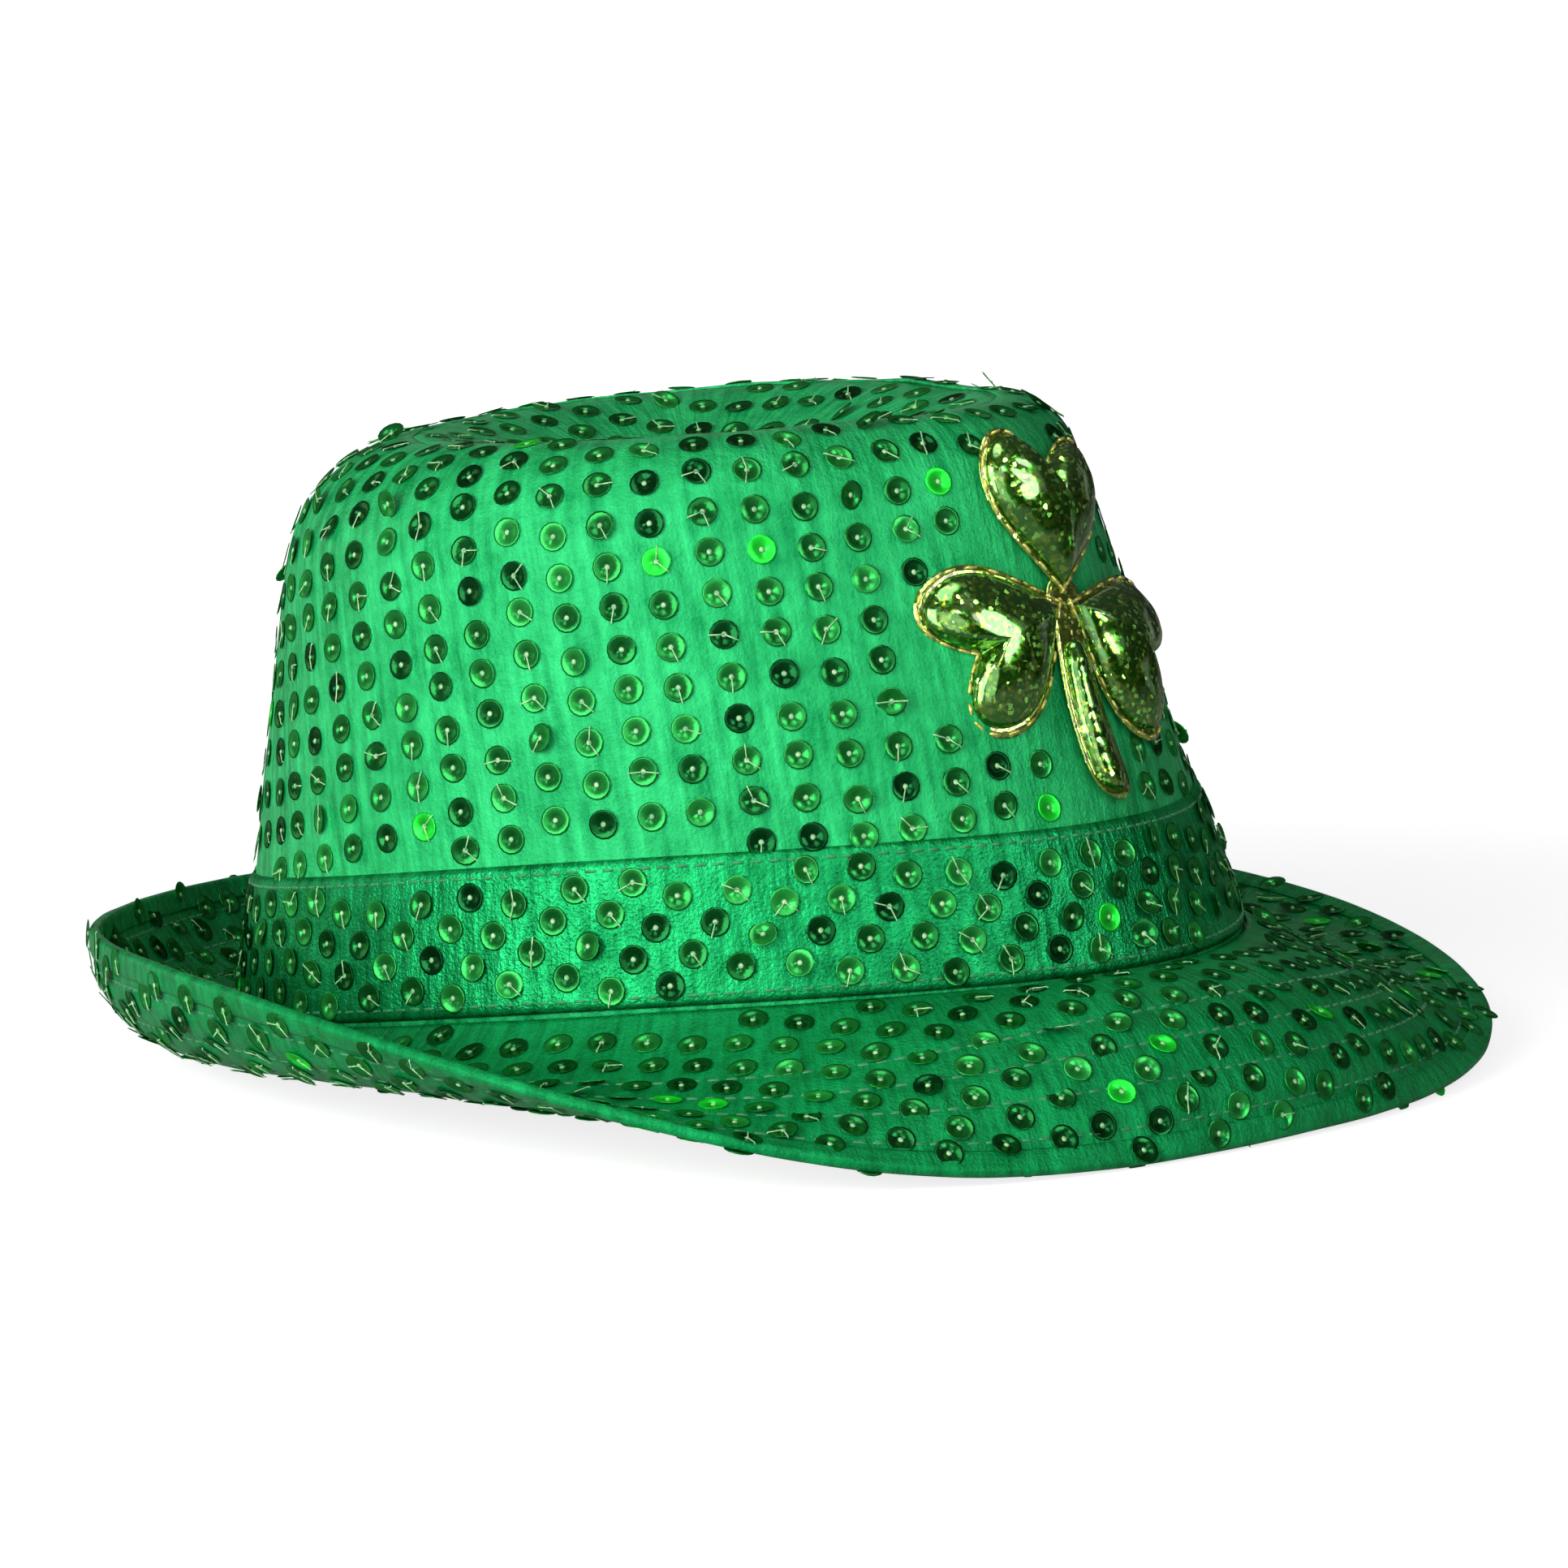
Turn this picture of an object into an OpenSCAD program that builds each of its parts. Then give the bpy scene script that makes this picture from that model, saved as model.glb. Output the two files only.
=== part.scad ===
// Sequin fedora with a padded foil shamrock, in millimetres.
// The origin is the middle of the head opening, level with the base seam at its front and back.
// +X is the front of the hat, +Y is the wearer's left and +Z is up.
// Every ring of the hat is drawn around one base oval: t is the angle round it, 0 at the front,
// and "off" is a distance straight out of the cloth, positive on the outer or upper side.

/* [Crown] */
// Outside length of the crown at its base, front to back
crown_l = 205; // [170:1:250]
// Outside width of the crown at its base, side to side
crown_w = 172; // [145:1:205]
// Height of the tip's edge above the origin, at the sides
crown_h = 113; // [90:0.5:150]
// How much lower the tip's edge is at the front
front_drop = 3.5; // [-4:0.5:12]
// How much lower the tip's edge is at the back
back_drop = -1; // [-4:0.5:14]
// How far the base seam rises at the sides
side_rise = 7; // [0:0.5:12]
// Inward lean of the front, in degrees
front_lean = 14; // [4:0.5:18]
// Inward lean of the back, in degrees
back_lean = 13.5; // [4:0.5:18]
// Inward lean of the sides, in degrees
side_lean = 9; // [2:0.5:16]
// Radius of the shoulder at the front
front_round = 14; // [8:1:24]
// Radius of the shoulder at the sides
side_round = 20; // [10:1:30]
// Radius of the shoulder at the back
back_round = 30; // [12:1:40]
// Depth of the dent in the tip
dent_depth = 17; // [4:1:24]
// How far forward the bottom of the dent sits
dent_forward = 2; // [-10:1:15]
// Depth of the two pinches beside the front
pinch_depth = 5; // [0:0.5:8]
// Angle of each pinch from the front, in degrees
pinch_angle = 48; // [30:1:65]

/* [Brim] */
// Width of the brim at the front, along the cloth
brim_front_w = 52; // [30:1:70]
// Width of the brim at the sides, along the cloth
brim_side_w = 52; // [30:1:70]
// Width of the brim at the back, along the cloth
brim_back_w = 40; // [30:1:70]
// Slope of the brim where it leaves the crown at the front, in degrees
start_front = -9; // [-40:1:10]
// Slope where it leaves the crown at the sides
start_side = -36; // [-50:1:10]
// Slope where it leaves the crown at the back
start_back = -14; // [-40:1:10]
// Slope of the brim's edge at the front: it snaps down
edge_front = -57; // [-70:1:20]
// Slope of the brim's edge at the sides
edge_side = 31; // [-20:1:60]
// Slope of the brim's edge at the back: it rolls up
edge_back = 88; // [20:1:100]
// Extra slope on the left side where the brim starts, taken off on the right
start_skew = 5; // [-12:1:12]
// Extra slope of the edge on the left side, taken off on the right
edge_skew = -6; // [-12:1:12]
// Extra turn-up of the edge at left front and right back, taken off at right front and left back
edge_twist = 17; // [-25:1:25]
// Extra dip and turn-up of the left front, which makes it a hollow, and the opposite at the right front
front_curl = 40; // [-10:1:60]

/* [Cloth] */
// Thickness of the sequin cloth
fabric_t = 0.6; // [0.4:0.05:1.2]
// Thickness of the crown's stiffener
crown_stiff_t = 1.2; // [0.6:0.1:2.5]
// Thickness of the brim's stiffener
brim_stiff_t = 1; // [0.6:0.1:3]
// Thickness of the lining
lining_t = 0.4; // [0.2:0.05:0.8]
// Clearance between one layer and the next
layer_gap = 0.1; // [0.05:0.01:0.3]
// Clearance between the brim's inner edge and the crown
brim_gap = 0.2; // [0.1:0.05:0.5]

/* [Bands] */
// Height of the hat band
band_h = 28; // [18:1:40]
// Gap between the hat band's foot and the brim
band_lift = 0.6; // [0.2:0.1:3]
// Thickness of the hat band
band_t = 0.8; // [0.4:0.1:1.5]
// Length of the overlap where the band's ends meet at the back
lap_l = 26; // [12:1:40]
// Height of the sweatband
sweat_h = 30; // [20:1:38]
// Thickness of the sweatband
sweat_t = 0.8; // [0.4:0.1:1.5]
// Width of the binding over the brim's edge, on each face
binding_w = 4; // [3:0.5:8]
// Thickness of the binding
binding_t = 0.4; // [0.3:0.1:1]
// Width of the care label
label_w = 28; // [16:1:40]
// Height of the care label
label_h = 16; // [10:1:24]

/* [Stitching] */
// Thread diameter
thread_d = 0.6; // [0.3:0.05:1]
// Number of topstitched rows round the brim
brim_rows = 4; // [2:1:6]
// Distance of the innermost row from the crown, where the brim is narrowest
row_stop = 10; // [4:0.5:14]
// Distance of a row from the edge of a band
edge_margin = 2; // [1:0.5:4]

/* [Shamrock] */
// Angle of the shamrock from the front of the base oval, in degrees
shamrock_angle = -19; // [-60:1:60]
// Height of the shamrock's middle above the base seam
shamrock_h = 72; // [50:1:80]
// Turn of the shamrock on the crown, in degrees
shamrock_turn = -11; // [-20:1:20]
// Width of one leaf
leaf_w = 31; // [18:1:36]
// Length of one leaf, from its point to its lobes
leaf_l = 29; // [18:1:36]
// How far the padding lifts the foil in the middle of a leaf
leaf_puff = 5; // [2:0.5:8]
// Fall of the two side leaves below level, in degrees
leaf_fall = 25; // [0:1:25]
// Gap from the shamrock's middle to each leaf's point
leaf_start = 3; // [1:0.5:6]
// Length of the stem, from the shamrock's middle
stem_l = 38; // [15:1:40]
// Width of the stem
stem_w = 6; // [3:0.5:9]
// Sideways curve of the stem's end
stem_bow = 6; // [-10:0.5:10]
// Width of the welded rim outside the padding
rim_w = 1.8; // [1:0.1:3]
// Thickness of the foil
foil_t = 0.35; // [0.2:0.05:0.8]
// Gap between the crown and the leaf that reaches furthest round it
leaf_gap = 0.25; // [0.1:0.05:1.5]
// Length of the tack stitches between the crown and the shamrock
tack_l = 1.6; // [1:0.1:3]

/* [Hidden] */

sectors = 48;               // pieces round every ring
turn = 360 / sectors;
angles = [for (i = [0 : sectors - 1]) i * turn];
half_l = crown_l / 2;
half_w = crown_w / 2;
pinch_spread = 15;          // degrees over which a pinch fades out
leaf_points = 28;           // points round a leaf
heart_l = 28.9;             // length of the plain heart curve below
heart_foot = 17;            // distance of its point below its middle
puff_round = 0.6;           // power that rounds the padding: 0.5 is a half ellipse
wad_clear = 4 * layer_gap;  // air left between wadding and foil
rim_row = 0.62;             // share of the welded rim's width at which its stitching runs
stem_arch = 0.8;            // height of the stem's padding, as a share of half its width
stem_row = 0.84;            // share of the stem's length that is stitched
stem_drop = 5;              // how far the stem's padding starts below the leaves' points
tape_in = 1.2;              // distance of the seam tape's outer edge inside the crown's face
thread_r = thread_d / 2;
touch = 0.02;               // air left where thread lies on cloth
patch_gap = 0.25;           // air over the flats of a ring that a patch lies inside or a thread crosses
patch_steps = 4;            // pieces in half a patch

// Depth of each layer's outer face below the crown's outer face
stiff_at = -fabric_t - layer_gap;
lining_at = stiff_at - crown_stiff_t - layer_gap;
sweat_at = lining_at - lining_t - layer_gap;
inside_at = sweat_at - sweat_t;
// Half the brim's thickness, and the same with the binding on it
brim_half = brim_stiff_t / 2 + layer_gap + fabric_t;
bound_half = brim_half + layer_gap;
// Foot of the hat band above the base seam, clear of the brim
band_foot = brim_half + band_lift;
// Distance from the brim's edge to its first row, and from one row to the next
row_start = binding_w + edge_margin;
row_pitch = (min(brim_front_w, brim_side_w, brim_back_w) - row_start - row_stop) / (brim_rows - 1);

// Blends a front, a side and a back value round the hat
function round_hat(t, front, side, back) =
    let (c = cos(t)) side * (1 - c * c) + front * (c * c + c) / 2 + back * (c * c - c) / 2;

// Point of the base oval at t, moved straight out by off
function normal(t) =
    let (n = [half_w * cos(t), half_l * sin(t)]) n / norm(n);
function plan(t, off) = [half_l * cos(t), half_w * sin(t)] + off * normal(t);

function base_z(t) = side_rise * pow(sin(t), 2);
function lean_at(t) = round_hat(t, front_lean, side_lean, back_lean);
function shoulder_r(t) = round_hat(t, front_round, side_round, back_round);
function tip_edge_z(t) = crown_h - round_hat(t, front_drop, 0, back_drop);
// Height at which the straight wall meets the shoulder
function wall_top(t) = tip_edge_z(t) - shoulder_r(t) * (1 - sin(lean_at(t)));
function pinch(t, z) =
    let (a = t > 180 ? 360 - t : abs(t), share = max(0, z / crown_h))
    pinch_depth * exp(-pow((a - pinch_angle) / pinch_spread, 2)) * pow(share, 3);

// Crown wall: v runs from 0 at the base seam to 1 at the shoulder and 2 at the tip's seam
function wall_at(t, v, off) =
    let (lean = lean_at(t), r = shoulder_r(t), z0 = base_z(t), z1 = wall_top(t),
        phi = v <= 1 ? lean : lean + (90 - lean) * (v - 1),
        z = v <= 1 ? z0 + (z1 - z0) * v : z1 + r * (sin(phi) - sin(lean)),
        straight = (min(z, z1) - z0) * tan(lean),
        inset = straight + (v > 1 ? r * (cos(lean) - cos(phi)) : 0) + pinch(t, z),
        p = plan(t, off * cos(phi) - inset))
    [p[0], p[1], z + off * sin(phi)];

// Crown wall at a height h above the base seam, along the straight part
function wall_h(t, h, off) = wall_at(t, h / (wall_top(t) - base_z(t)), off);

// Tip: s runs from 0 at the bottom of the dent to 1 at the tip's seam
tip_mid = [dent_forward, 0];
dent_z = crown_h - (front_drop + back_drop) / 4 - dent_depth;
function tip_at(t, s, off) =
    let (edge = wall_at(t, 2, 0), n = normal(t), fall = s * s * (3 - 2 * s),
        e = [edge[0], edge[1]] - layer_gap * n,
        p = tip_mid + (e - tip_mid) * s)
    [p[0], p[1], dent_z + (edge[2] - dent_z) * fall + off];

// Brim: w runs from 0 at the crown to 1 at the edge, on an arc whose slope turns evenly
function brim_w(t) = round_hat(t, brim_front_w, brim_side_w, brim_back_w);
function curl(t) = front_curl * sin(2 * t) * max(0, cos(t));
function start_slope(t) =
    round_hat(t, start_front, start_side, start_back) + start_skew * sin(t) - curl(t);
function edge_slope(t) = round_hat(t, edge_front, edge_side, edge_back) + edge_skew * sin(t)
    + edge_twist * sin(2 * t) + curl(t);
// ahead moves a point further on along the slope, past the edge
function brim_at(t, w, off, ahead = 0) =
    let (s0 = start_slope(t), bend = edge_slope(t) - s0,
        span = abs(bend) < 0.5 ? 0.5 : bend, slope = s0 + span * w,
        k = brim_w(t) * 180 / (PI * span),
        out = k * (sin(slope) - sin(s0)) - off * sin(slope) + ahead * cos(slope),
        up = k * (cos(s0) - cos(slope)) + off * cos(slope) + ahead * sin(slope),
        p = plan(t, brim_gap + out))
    [p[0], p[1], base_z(t) + up];
// The same at a distance back from the edge
function brim_back(t, back, off) = brim_at(t, 1 - back / brim_w(t), off);

function flatten(rings) = [for (ring = rings) each ring];
// Triangles between n sections of k points; the second half of each section is the first half's
// way back, so its cells are split the other way and two layers split alike
function split(a, b, c, d, first) = first ? [[a, b, c], [a, c, d]] : [[a, b, d], [b, c, d]];
function cells(n, k, closed) =
    [for (i = [0 : (closed ? n - 1 : n - 2)], j = [0 : k - 1])
        let (m = (i + 1) % n, l = (j + 1) % k)
        each split(i * k + j, i * k + l, m * k + l, m * k + j, 2 * j < k)];

// Closed loop whose cross-sections are given in order; each runs anticlockwise (outward, up)
module loop(sections) {
    k = len(sections[0]);
    polyhedron(points = flatten(sections), faces = cells(len(sections), k, true));
}

// The same with two flat ends
module strip(sections) {
    n = len(sections);
    k = len(sections[0]);
    ends = [[for (j = [k - 1 : -1 : 0]) j], [for (j = [0 : k - 1]) (n - 1) * k + j]];
    polyhedron(points = flatten(sections), faces = concat(cells(n, k, false), ends));
}

// Closed form drawn as half-sections from a bottom pole to a top pole, the same two poles in each
module dome(bottom, halves, top) {
    n = len(halves);
    k = len(halves[0]);
    low = n * k;
    sides = [for (i = [0 : n - 1], j = [0 : k - 2])
        let (m = (i + 1) % n)
        each split(i * k + j, i * k + j + 1, m * k + j + 1, m * k + j, 2 * j + 1 < k)];
    caps = [for (i = [0 : n - 1])
        let (m = (i + 1) % n) each [[low, i * k, m * k], [i * k + k - 1, low + 1, m * k + k - 1]]];
    polyhedron(points = concat(flatten(halves), [bottom, top]), faces = concat(sides, caps));
}

function reversed(list) = [for (i = [len(list) - 1 : -1 : 0]) list[i]];

// Crown wall layer between two depths
wall_rows = [0, 0.35, 0.7, 1, 1.3, 1.65, 2];
module wall_layer(outer, thickness) {
    loop([for (t = angles) concat(
        [for (v = wall_rows) wall_at(t, v, outer)],
        [for (v = reversed(wall_rows)) wall_at(t, v, outer - thickness)])]);
}

// Tip layer between two depths
tip_rows = [0.3, 0.5, 0.7, 0.85, 1];
module tip_layer(outer, thickness) {
    dome(tip_at(0, 0, outer - thickness),
        [for (t = angles) concat(
            [for (s = tip_rows) tip_at(t, s, outer - thickness)],
            [for (s = reversed(tip_rows)) tip_at(t, s, outer)])],
        tip_at(0, 0, outer));
}

// Brim layer between two offsets, with a ring of points under the binding's hem
function brim_cols(t) = concat([0, 0.22, 0.44, 0.66], [1 - binding_w / brim_w(t), 1]);
module brim_layer(low, high) {
    loop([for (t = angles) concat(
        [for (w = brim_cols(t)) brim_at(t, w, low)],
        [for (w = reversed(brim_cols(t))) brim_at(t, w, high)])]);
}

// Band round the crown wall, between two heights and two depths
function band_section(t, low, high, inner, outer) =
    [wall_h(t, low, inner), wall_h(t, low, outer), wall_h(t, high, outer), wall_h(t, high, inner)];
module wall_band(low, high, inner, outer) {
    loop([for (t = angles) band_section(t, low, high, inner, outer)]);
}

// Patch of such a band at the back, a given length long
module back_patch(length, low, high, inner, outer) {
    spread = length / half_w * 90 / PI;
    strip([for (i = [-patch_steps : patch_steps])
        band_section(180 + i * spread / patch_steps, low, high, inner, outer)]);
}

// Thread round the crown wall, its middle at a height and a depth
module wall_thread(h, depth) {
    loop([for (t = angles) [wall_h(t, h - thread_r, depth), wall_h(t, h, depth + thread_r),
        wall_h(t, h + thread_r, depth), wall_h(t, h, depth - thread_r)]]);
}

// Thread round the brim, at a distance back from its edge
module brim_thread(back, off) {
    loop([for (t = angles) [brim_back(t, back, off - thread_r), brim_back(t, back - thread_r, off),
        brim_back(t, back, off + thread_r), brim_back(t, back + thread_r, off)]]);
}

module crown_side() { color("#1f9c53") wall_layer(0, fabric_t); }
module crown_tip() { color("#239f57") tip_layer(0, fabric_t); }
module crown_side_stiffener() { color("#e9ebe6") wall_layer(stiff_at, crown_stiff_t); }
module crown_tip_stiffener() { color("#e4e7e1") tip_layer(stiff_at, crown_stiff_t); }
module crown_side_lining() { color("#1b7f45") wall_layer(lining_at, lining_t); }
module crown_tip_lining() { color("#1c8549") tip_layer(lining_at, lining_t); }

module sweatband() {
    color("#14643a") wall_band(layer_gap, sweat_h, inside_at, sweat_at);
}

module sweatband_stitching() {
    color("#63c98c") wall_thread(edge_margin, inside_at - thread_r - touch);
}

// Tape that closes the seam between crown and brim, under the crown wall's lower edge
module seam_tape() {
    below = [0, 0, -layer_gap];
    foot = [0, 0, -brim_half];
    color("#177443") loop([for (t = angles)
        let (inner = wall_at(t, 0, inside_at), outer = wall_at(t, 0, -tape_in),
            seam = [0, 0, base_z(t)])
        [[inner[0], inner[1], 0] + seam + foot, [outer[0], outer[1], 0] + seam + foot,
            outer + below, inner + below]]);
}

module hat_band() {
    color("#17894a") wall_band(band_foot, band_foot + band_h, layer_gap, layer_gap + band_t);
}

// The free end of the band, lapped over its start at the back
module band_lap() {
    lap_at = 2 * layer_gap + band_t;
    color("#19924f") back_patch(lap_l, band_foot, band_foot + band_h, lap_at, lap_at + band_t);
}

// Rows near the top and the foot of the band, outside the lap
module band_stitching() {
    depth = layer_gap + band_t + thread_r + touch;
    over_lap = depth + layer_gap + band_t + patch_gap;
    lap_spread = lap_l / half_w * 90 / PI + turn;
    color("#53b97a") for (h = [band_foot + edge_margin, band_foot + band_h - edge_margin])
        loop([for (t = angles)
            let (d = abs(t - 180) < lap_spread ? over_lap : depth)
            [wall_h(t, h - thread_r, d), wall_h(t, h, d + thread_r),
                wall_h(t, h + thread_r, d), wall_h(t, h, d - thread_r)]]);
}

module brim_top_fabric() {
    color("#1b8a4a") brim_layer(brim_stiff_t / 2 + layer_gap, brim_half);
}

module brim_under_fabric() {
    color("#187c42") brim_layer(-brim_half, -brim_stiff_t / 2 - layer_gap);
}

module brim_stiffener() { color("#e6e8e3") brim_layer(-brim_stiff_t / 2, brim_stiff_t / 2); }

module brim_edge_binding() {
    in_half = bound_half;
    out_half = bound_half + binding_t;
    reach = layer_gap + binding_t;
    color("#1e9450") loop([for (t = angles) [
        brim_back(t, binding_w, -out_half), brim_at(t, 1, -out_half),
        brim_at(t, 1, -brim_half / 2, reach), brim_at(t, 1, brim_half / 2, reach),
        brim_at(t, 1, out_half), brim_back(t, binding_w, out_half),
        brim_back(t, binding_w, in_half), brim_at(t, 1, in_half, layer_gap / 2),
        brim_at(t, 1, -in_half, layer_gap / 2), brim_back(t, binding_w, -in_half)]]);
}

// Rows of stitching through the brim, starting inside the binding
module brim_topstitching() {
    color("#4fb878") for (i = [0 : brim_rows - 1])
        brim_thread(row_start + i * row_pitch, brim_half + thread_r + touch);
}

// Shamrock: x runs to the right, y up the crown and z away from it, bent round the crown
wall_lean = lean_at(shamrock_angle);
function sham_normal() =
    let (n = normal(shamrock_angle)) [n[0] * cos(wall_lean), n[1] * cos(wall_lean), sin(wall_lean)];
function sham_across() = let (n = normal(shamrock_angle)) [-n[1], n[0], 0];
sham_origin = wall_h(shamrock_angle, shamrock_h, tack_l);
// Radius of the crown's wall behind the shamrock, on the flatter of the two sides it reaches
reach = leaf_start + leaf_l;
function side_r(way) =
    let (along = norm([half_l * sin(shamrock_angle), half_w * cos(shamrock_angle)]),
        t = shamrock_angle + way * reach / along * 180 / PI,
        d = wall_h(t, shamrock_h, 0) - wall_h(shamrock_angle, shamrock_h, 0),
        drop = max(0.5, -d * sham_normal()))
    (norm(d) * norm(d)) / (2 * drop);
wall_r = max(side_r(-1), side_r(1));
bend_r = 1 / (1 / wall_r + 2 * (tack_l - leaf_gap) / (reach * reach));
function sham(x, y, z) =
    let (a = shamrock_turn, px = x * cos(a) - y * sin(a), py = x * sin(a) + y * cos(a),
        arc = px * 180 / (PI * bend_r), n = sham_normal(), across = sham_across())
    sham_origin + across * (bend_r + z) * sin(arc) + cross(n, across) * py
        + n * ((bend_r + z) * cos(arc) - bend_r);

// Heart curve, anticlockwise from its notch, scaled to one leaf and grown by grow all round
function heart(u, grow) = [
    -sin(u) * abs(sin(u)) * (leaf_w / 2 + grow),
    (13 * cos(u) - 5 * cos(2 * u) - 2 * cos(3 * u) - cos(4 * u)) * (leaf_l + 2 * grow) / heart_l];
// Point of a leaf that lies along direction dir: s is 0 in its middle and 1 on its outline
function leaf_at(dir, u, s, z, grow = 0) =
    let (h = heart(u, grow) * s, y = h[1] + leaf_start + heart_foot * leaf_l / heart_l,
        a = dir - 90)
    sham(h[0] * cos(a) - y * sin(a), h[0] * sin(a) + y * cos(a), z);
// Height of the padded foil over a leaf
function puff_at(s) = leaf_puff * pow(1 - s * s, puff_round);

leaf_turns = [for (i = [0 : leaf_points - 1]) i * 360 / leaf_points];
backing_z = foil_t;         // top of the backing, which starts at the tack stitches
foil_z = backing_z + layer_gap / 2;

// Foil front of a leaf, hollow behind
foil_rows = [0.35, 0.6, 0.8, 0.93, 1];
module leaf_foil(dir) {
    skin = foil_t + foil_z;
    dome(leaf_at(dir, 0, 0, foil_z + leaf_puff),
        [for (u = leaf_turns) concat(
            [for (s = foil_rows) leaf_at(dir, u, s, foil_z + puff_at(s))],
            [for (s = reversed(foil_rows)) leaf_at(dir, u, s, skin + puff_at(s), foil_t)])],
        leaf_at(dir, 0, 0, skin + leaf_puff));
}

// Wadding that fills a leaf
wad_rows = [0.4, 0.75, 0.95];
module leaf_wad(dir) {
    low = foil_z;
    dome(leaf_at(dir, 0, 0, low),
        [for (u = leaf_turns) concat(
            [for (s = wad_rows) leaf_at(dir, u, s, low)],
            [for (s = reversed(wad_rows)) leaf_at(dir, u, s, low + puff_at(s) - wad_clear)])],
        leaf_at(dir, 0, 0, low + leaf_puff - wad_clear));
}

// Stem: q runs from 0 at the shamrock's middle to 1 at its end, c is across, z is up
stem_steps = 8;
stem_top = leaf_start + stem_drop;
function stem_at(q, c, z) = sham(stem_bow * q * q + c, -stem_top - (stem_l - stem_top) * q, z);

module leaf_plate(dir) {
    rows = [0.5, 1];
    dome(leaf_at(dir, 0, 0, 0),
        [for (u = leaf_turns) concat(
            [for (s = rows) leaf_at(dir, u, s, 0, rim_w)],
            [for (s = reversed(rows)) leaf_at(dir, u, s, backing_z, rim_w)])],
        leaf_at(dir, 0, 0, backing_z));
}

// Flat back of the shamrock, with the welded rim that shows all round
module shamrock_backing() {
    half = stem_w / 2 + rim_w;
    hub = leaf_start + rim_w;
    first = -stem_drop / (stem_l - stem_top);
    last = 1 + rim_w / stem_l;
    color("#7fae3c") {
        for (dir = [90, 180 + leaf_fall, -leaf_fall]) leaf_plate(dir);
        strip([for (i = [0 : stem_steps])
            let (q = last - i * (last - first) / stem_steps)
            [stem_at(q, -half, 0), stem_at(q, half, 0),
                stem_at(q, half, backing_z), stem_at(q, -half, backing_z)]]);
        dome(sham(0, 0, 0),
            [for (u = leaf_turns) [sham(-hub * sin(u), hub * cos(u), 0),
                sham(-hub * sin(u), hub * cos(u), backing_z)]],
            sham(0, 0, backing_z));
    }
}

module shamrock_leaf_top() { color("#5f9a2a") leaf_foil(90); }
module shamrock_leaf_left() { color("#5a9528") leaf_foil(180 + leaf_fall); }
module shamrock_leaf_right() { color("#649f2e") leaf_foil(-leaf_fall); }
module padding_top() { color("#f2f2ee") leaf_wad(90); }
module padding_left() { color("#f0f0ec") leaf_wad(180 + leaf_fall); }
module padding_right() { color("#eeeeea") leaf_wad(-leaf_fall); }

// Padded stem, half round in section
arch_turns = [35, 75, 105, 145];
module shamrock_stem() {
    half = stem_w / 2;
    arch = half * stem_arch;
    color("#6aa532") strip([for (i = [0 : stem_steps])
        let (q = 1 - i / stem_steps)
        concat([stem_at(q, -half, foil_z), stem_at(q, half, foil_z)],
            [for (a = arch_turns) stem_at(q, half * cos(a), foil_z + arch * sin(a))])]);
}

// Row of thread on the welded rim, round each leaf and down the stem
module shamrock_outline_stitching() {
    on = backing_z + thread_r + touch;
    mid = rim_w * rim_row;
    side = stem_w / 2 + rim_w / 2;
    color("#d8c95a") {
        for (dir = [90, 180 + leaf_fall, -leaf_fall])
            loop([for (u = leaf_turns) [
                leaf_at(dir, u, 1, on - thread_r, mid), leaf_at(dir, u, 1, on, mid + thread_r),
                leaf_at(dir, u, 1, on + thread_r, mid), leaf_at(dir, u, 1, on, mid - thread_r)]]);
        for (c = [-side, side])
            strip([for (i = [0 : stem_steps])
                let (q = 1 - stem_row * i / stem_steps)
                [stem_at(q, c, on - thread_r), stem_at(q, c + thread_r, on),
                    stem_at(q, c, on + thread_r), stem_at(q, c - thread_r, on)]]);
    }
}

// Short posts of thread that hold the shamrock's middle to the crown
module shamrock_tack_stitches() {
    spread = leaf_start;
    across = sham_across();
    heading = atan2(across[1], across[0]);
    color("#2f7d3f") translate(wall_h(shamrock_angle, shamrock_h, 0))
        rotate([0, 0, heading]) rotate([90 - wall_lean, 0, 0])
            for (a = [45 : 90 : 315])
                translate([spread * cos(a), spread * sin(a), 2 * touch])
                    cylinder(h = tack_l - 4 * touch, r = thread_r, $fn = 16);
}

// Blank care label, sewn inside the sweatband at the back
module care_label() {
    color("#f5f6f2") back_patch(label_w, sweat_h - edge_margin - label_h, sweat_h - edge_margin,
        inside_at - patch_gap - lining_t, inside_at - patch_gap);
}

crown_side();
crown_tip();
crown_side_stiffener();
crown_tip_stiffener();
crown_side_lining();
crown_tip_lining();
sweatband();
sweatband_stitching();
seam_tape();
hat_band();
band_lap();
band_stitching();
brim_top_fabric();
brim_under_fabric();
brim_stiffener();
brim_edge_binding();
brim_topstitching();
shamrock_backing();
shamrock_leaf_top();
shamrock_leaf_left();
shamrock_leaf_right();
shamrock_stem();
padding_top();
padding_left();
padding_right();
shamrock_outline_stitching();
shamrock_tack_stitches();
care_label();
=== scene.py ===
"""Sequin fedora with a padded foil shamrock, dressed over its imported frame."""
import logging
import math
import random
from dataclasses import dataclass, field, replace
from enum import Enum
from typing import Callable, Iterable, Sequence

import bmesh
import bpy
import numpy as np
from mathutils import Matrix, Vector, noise


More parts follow.
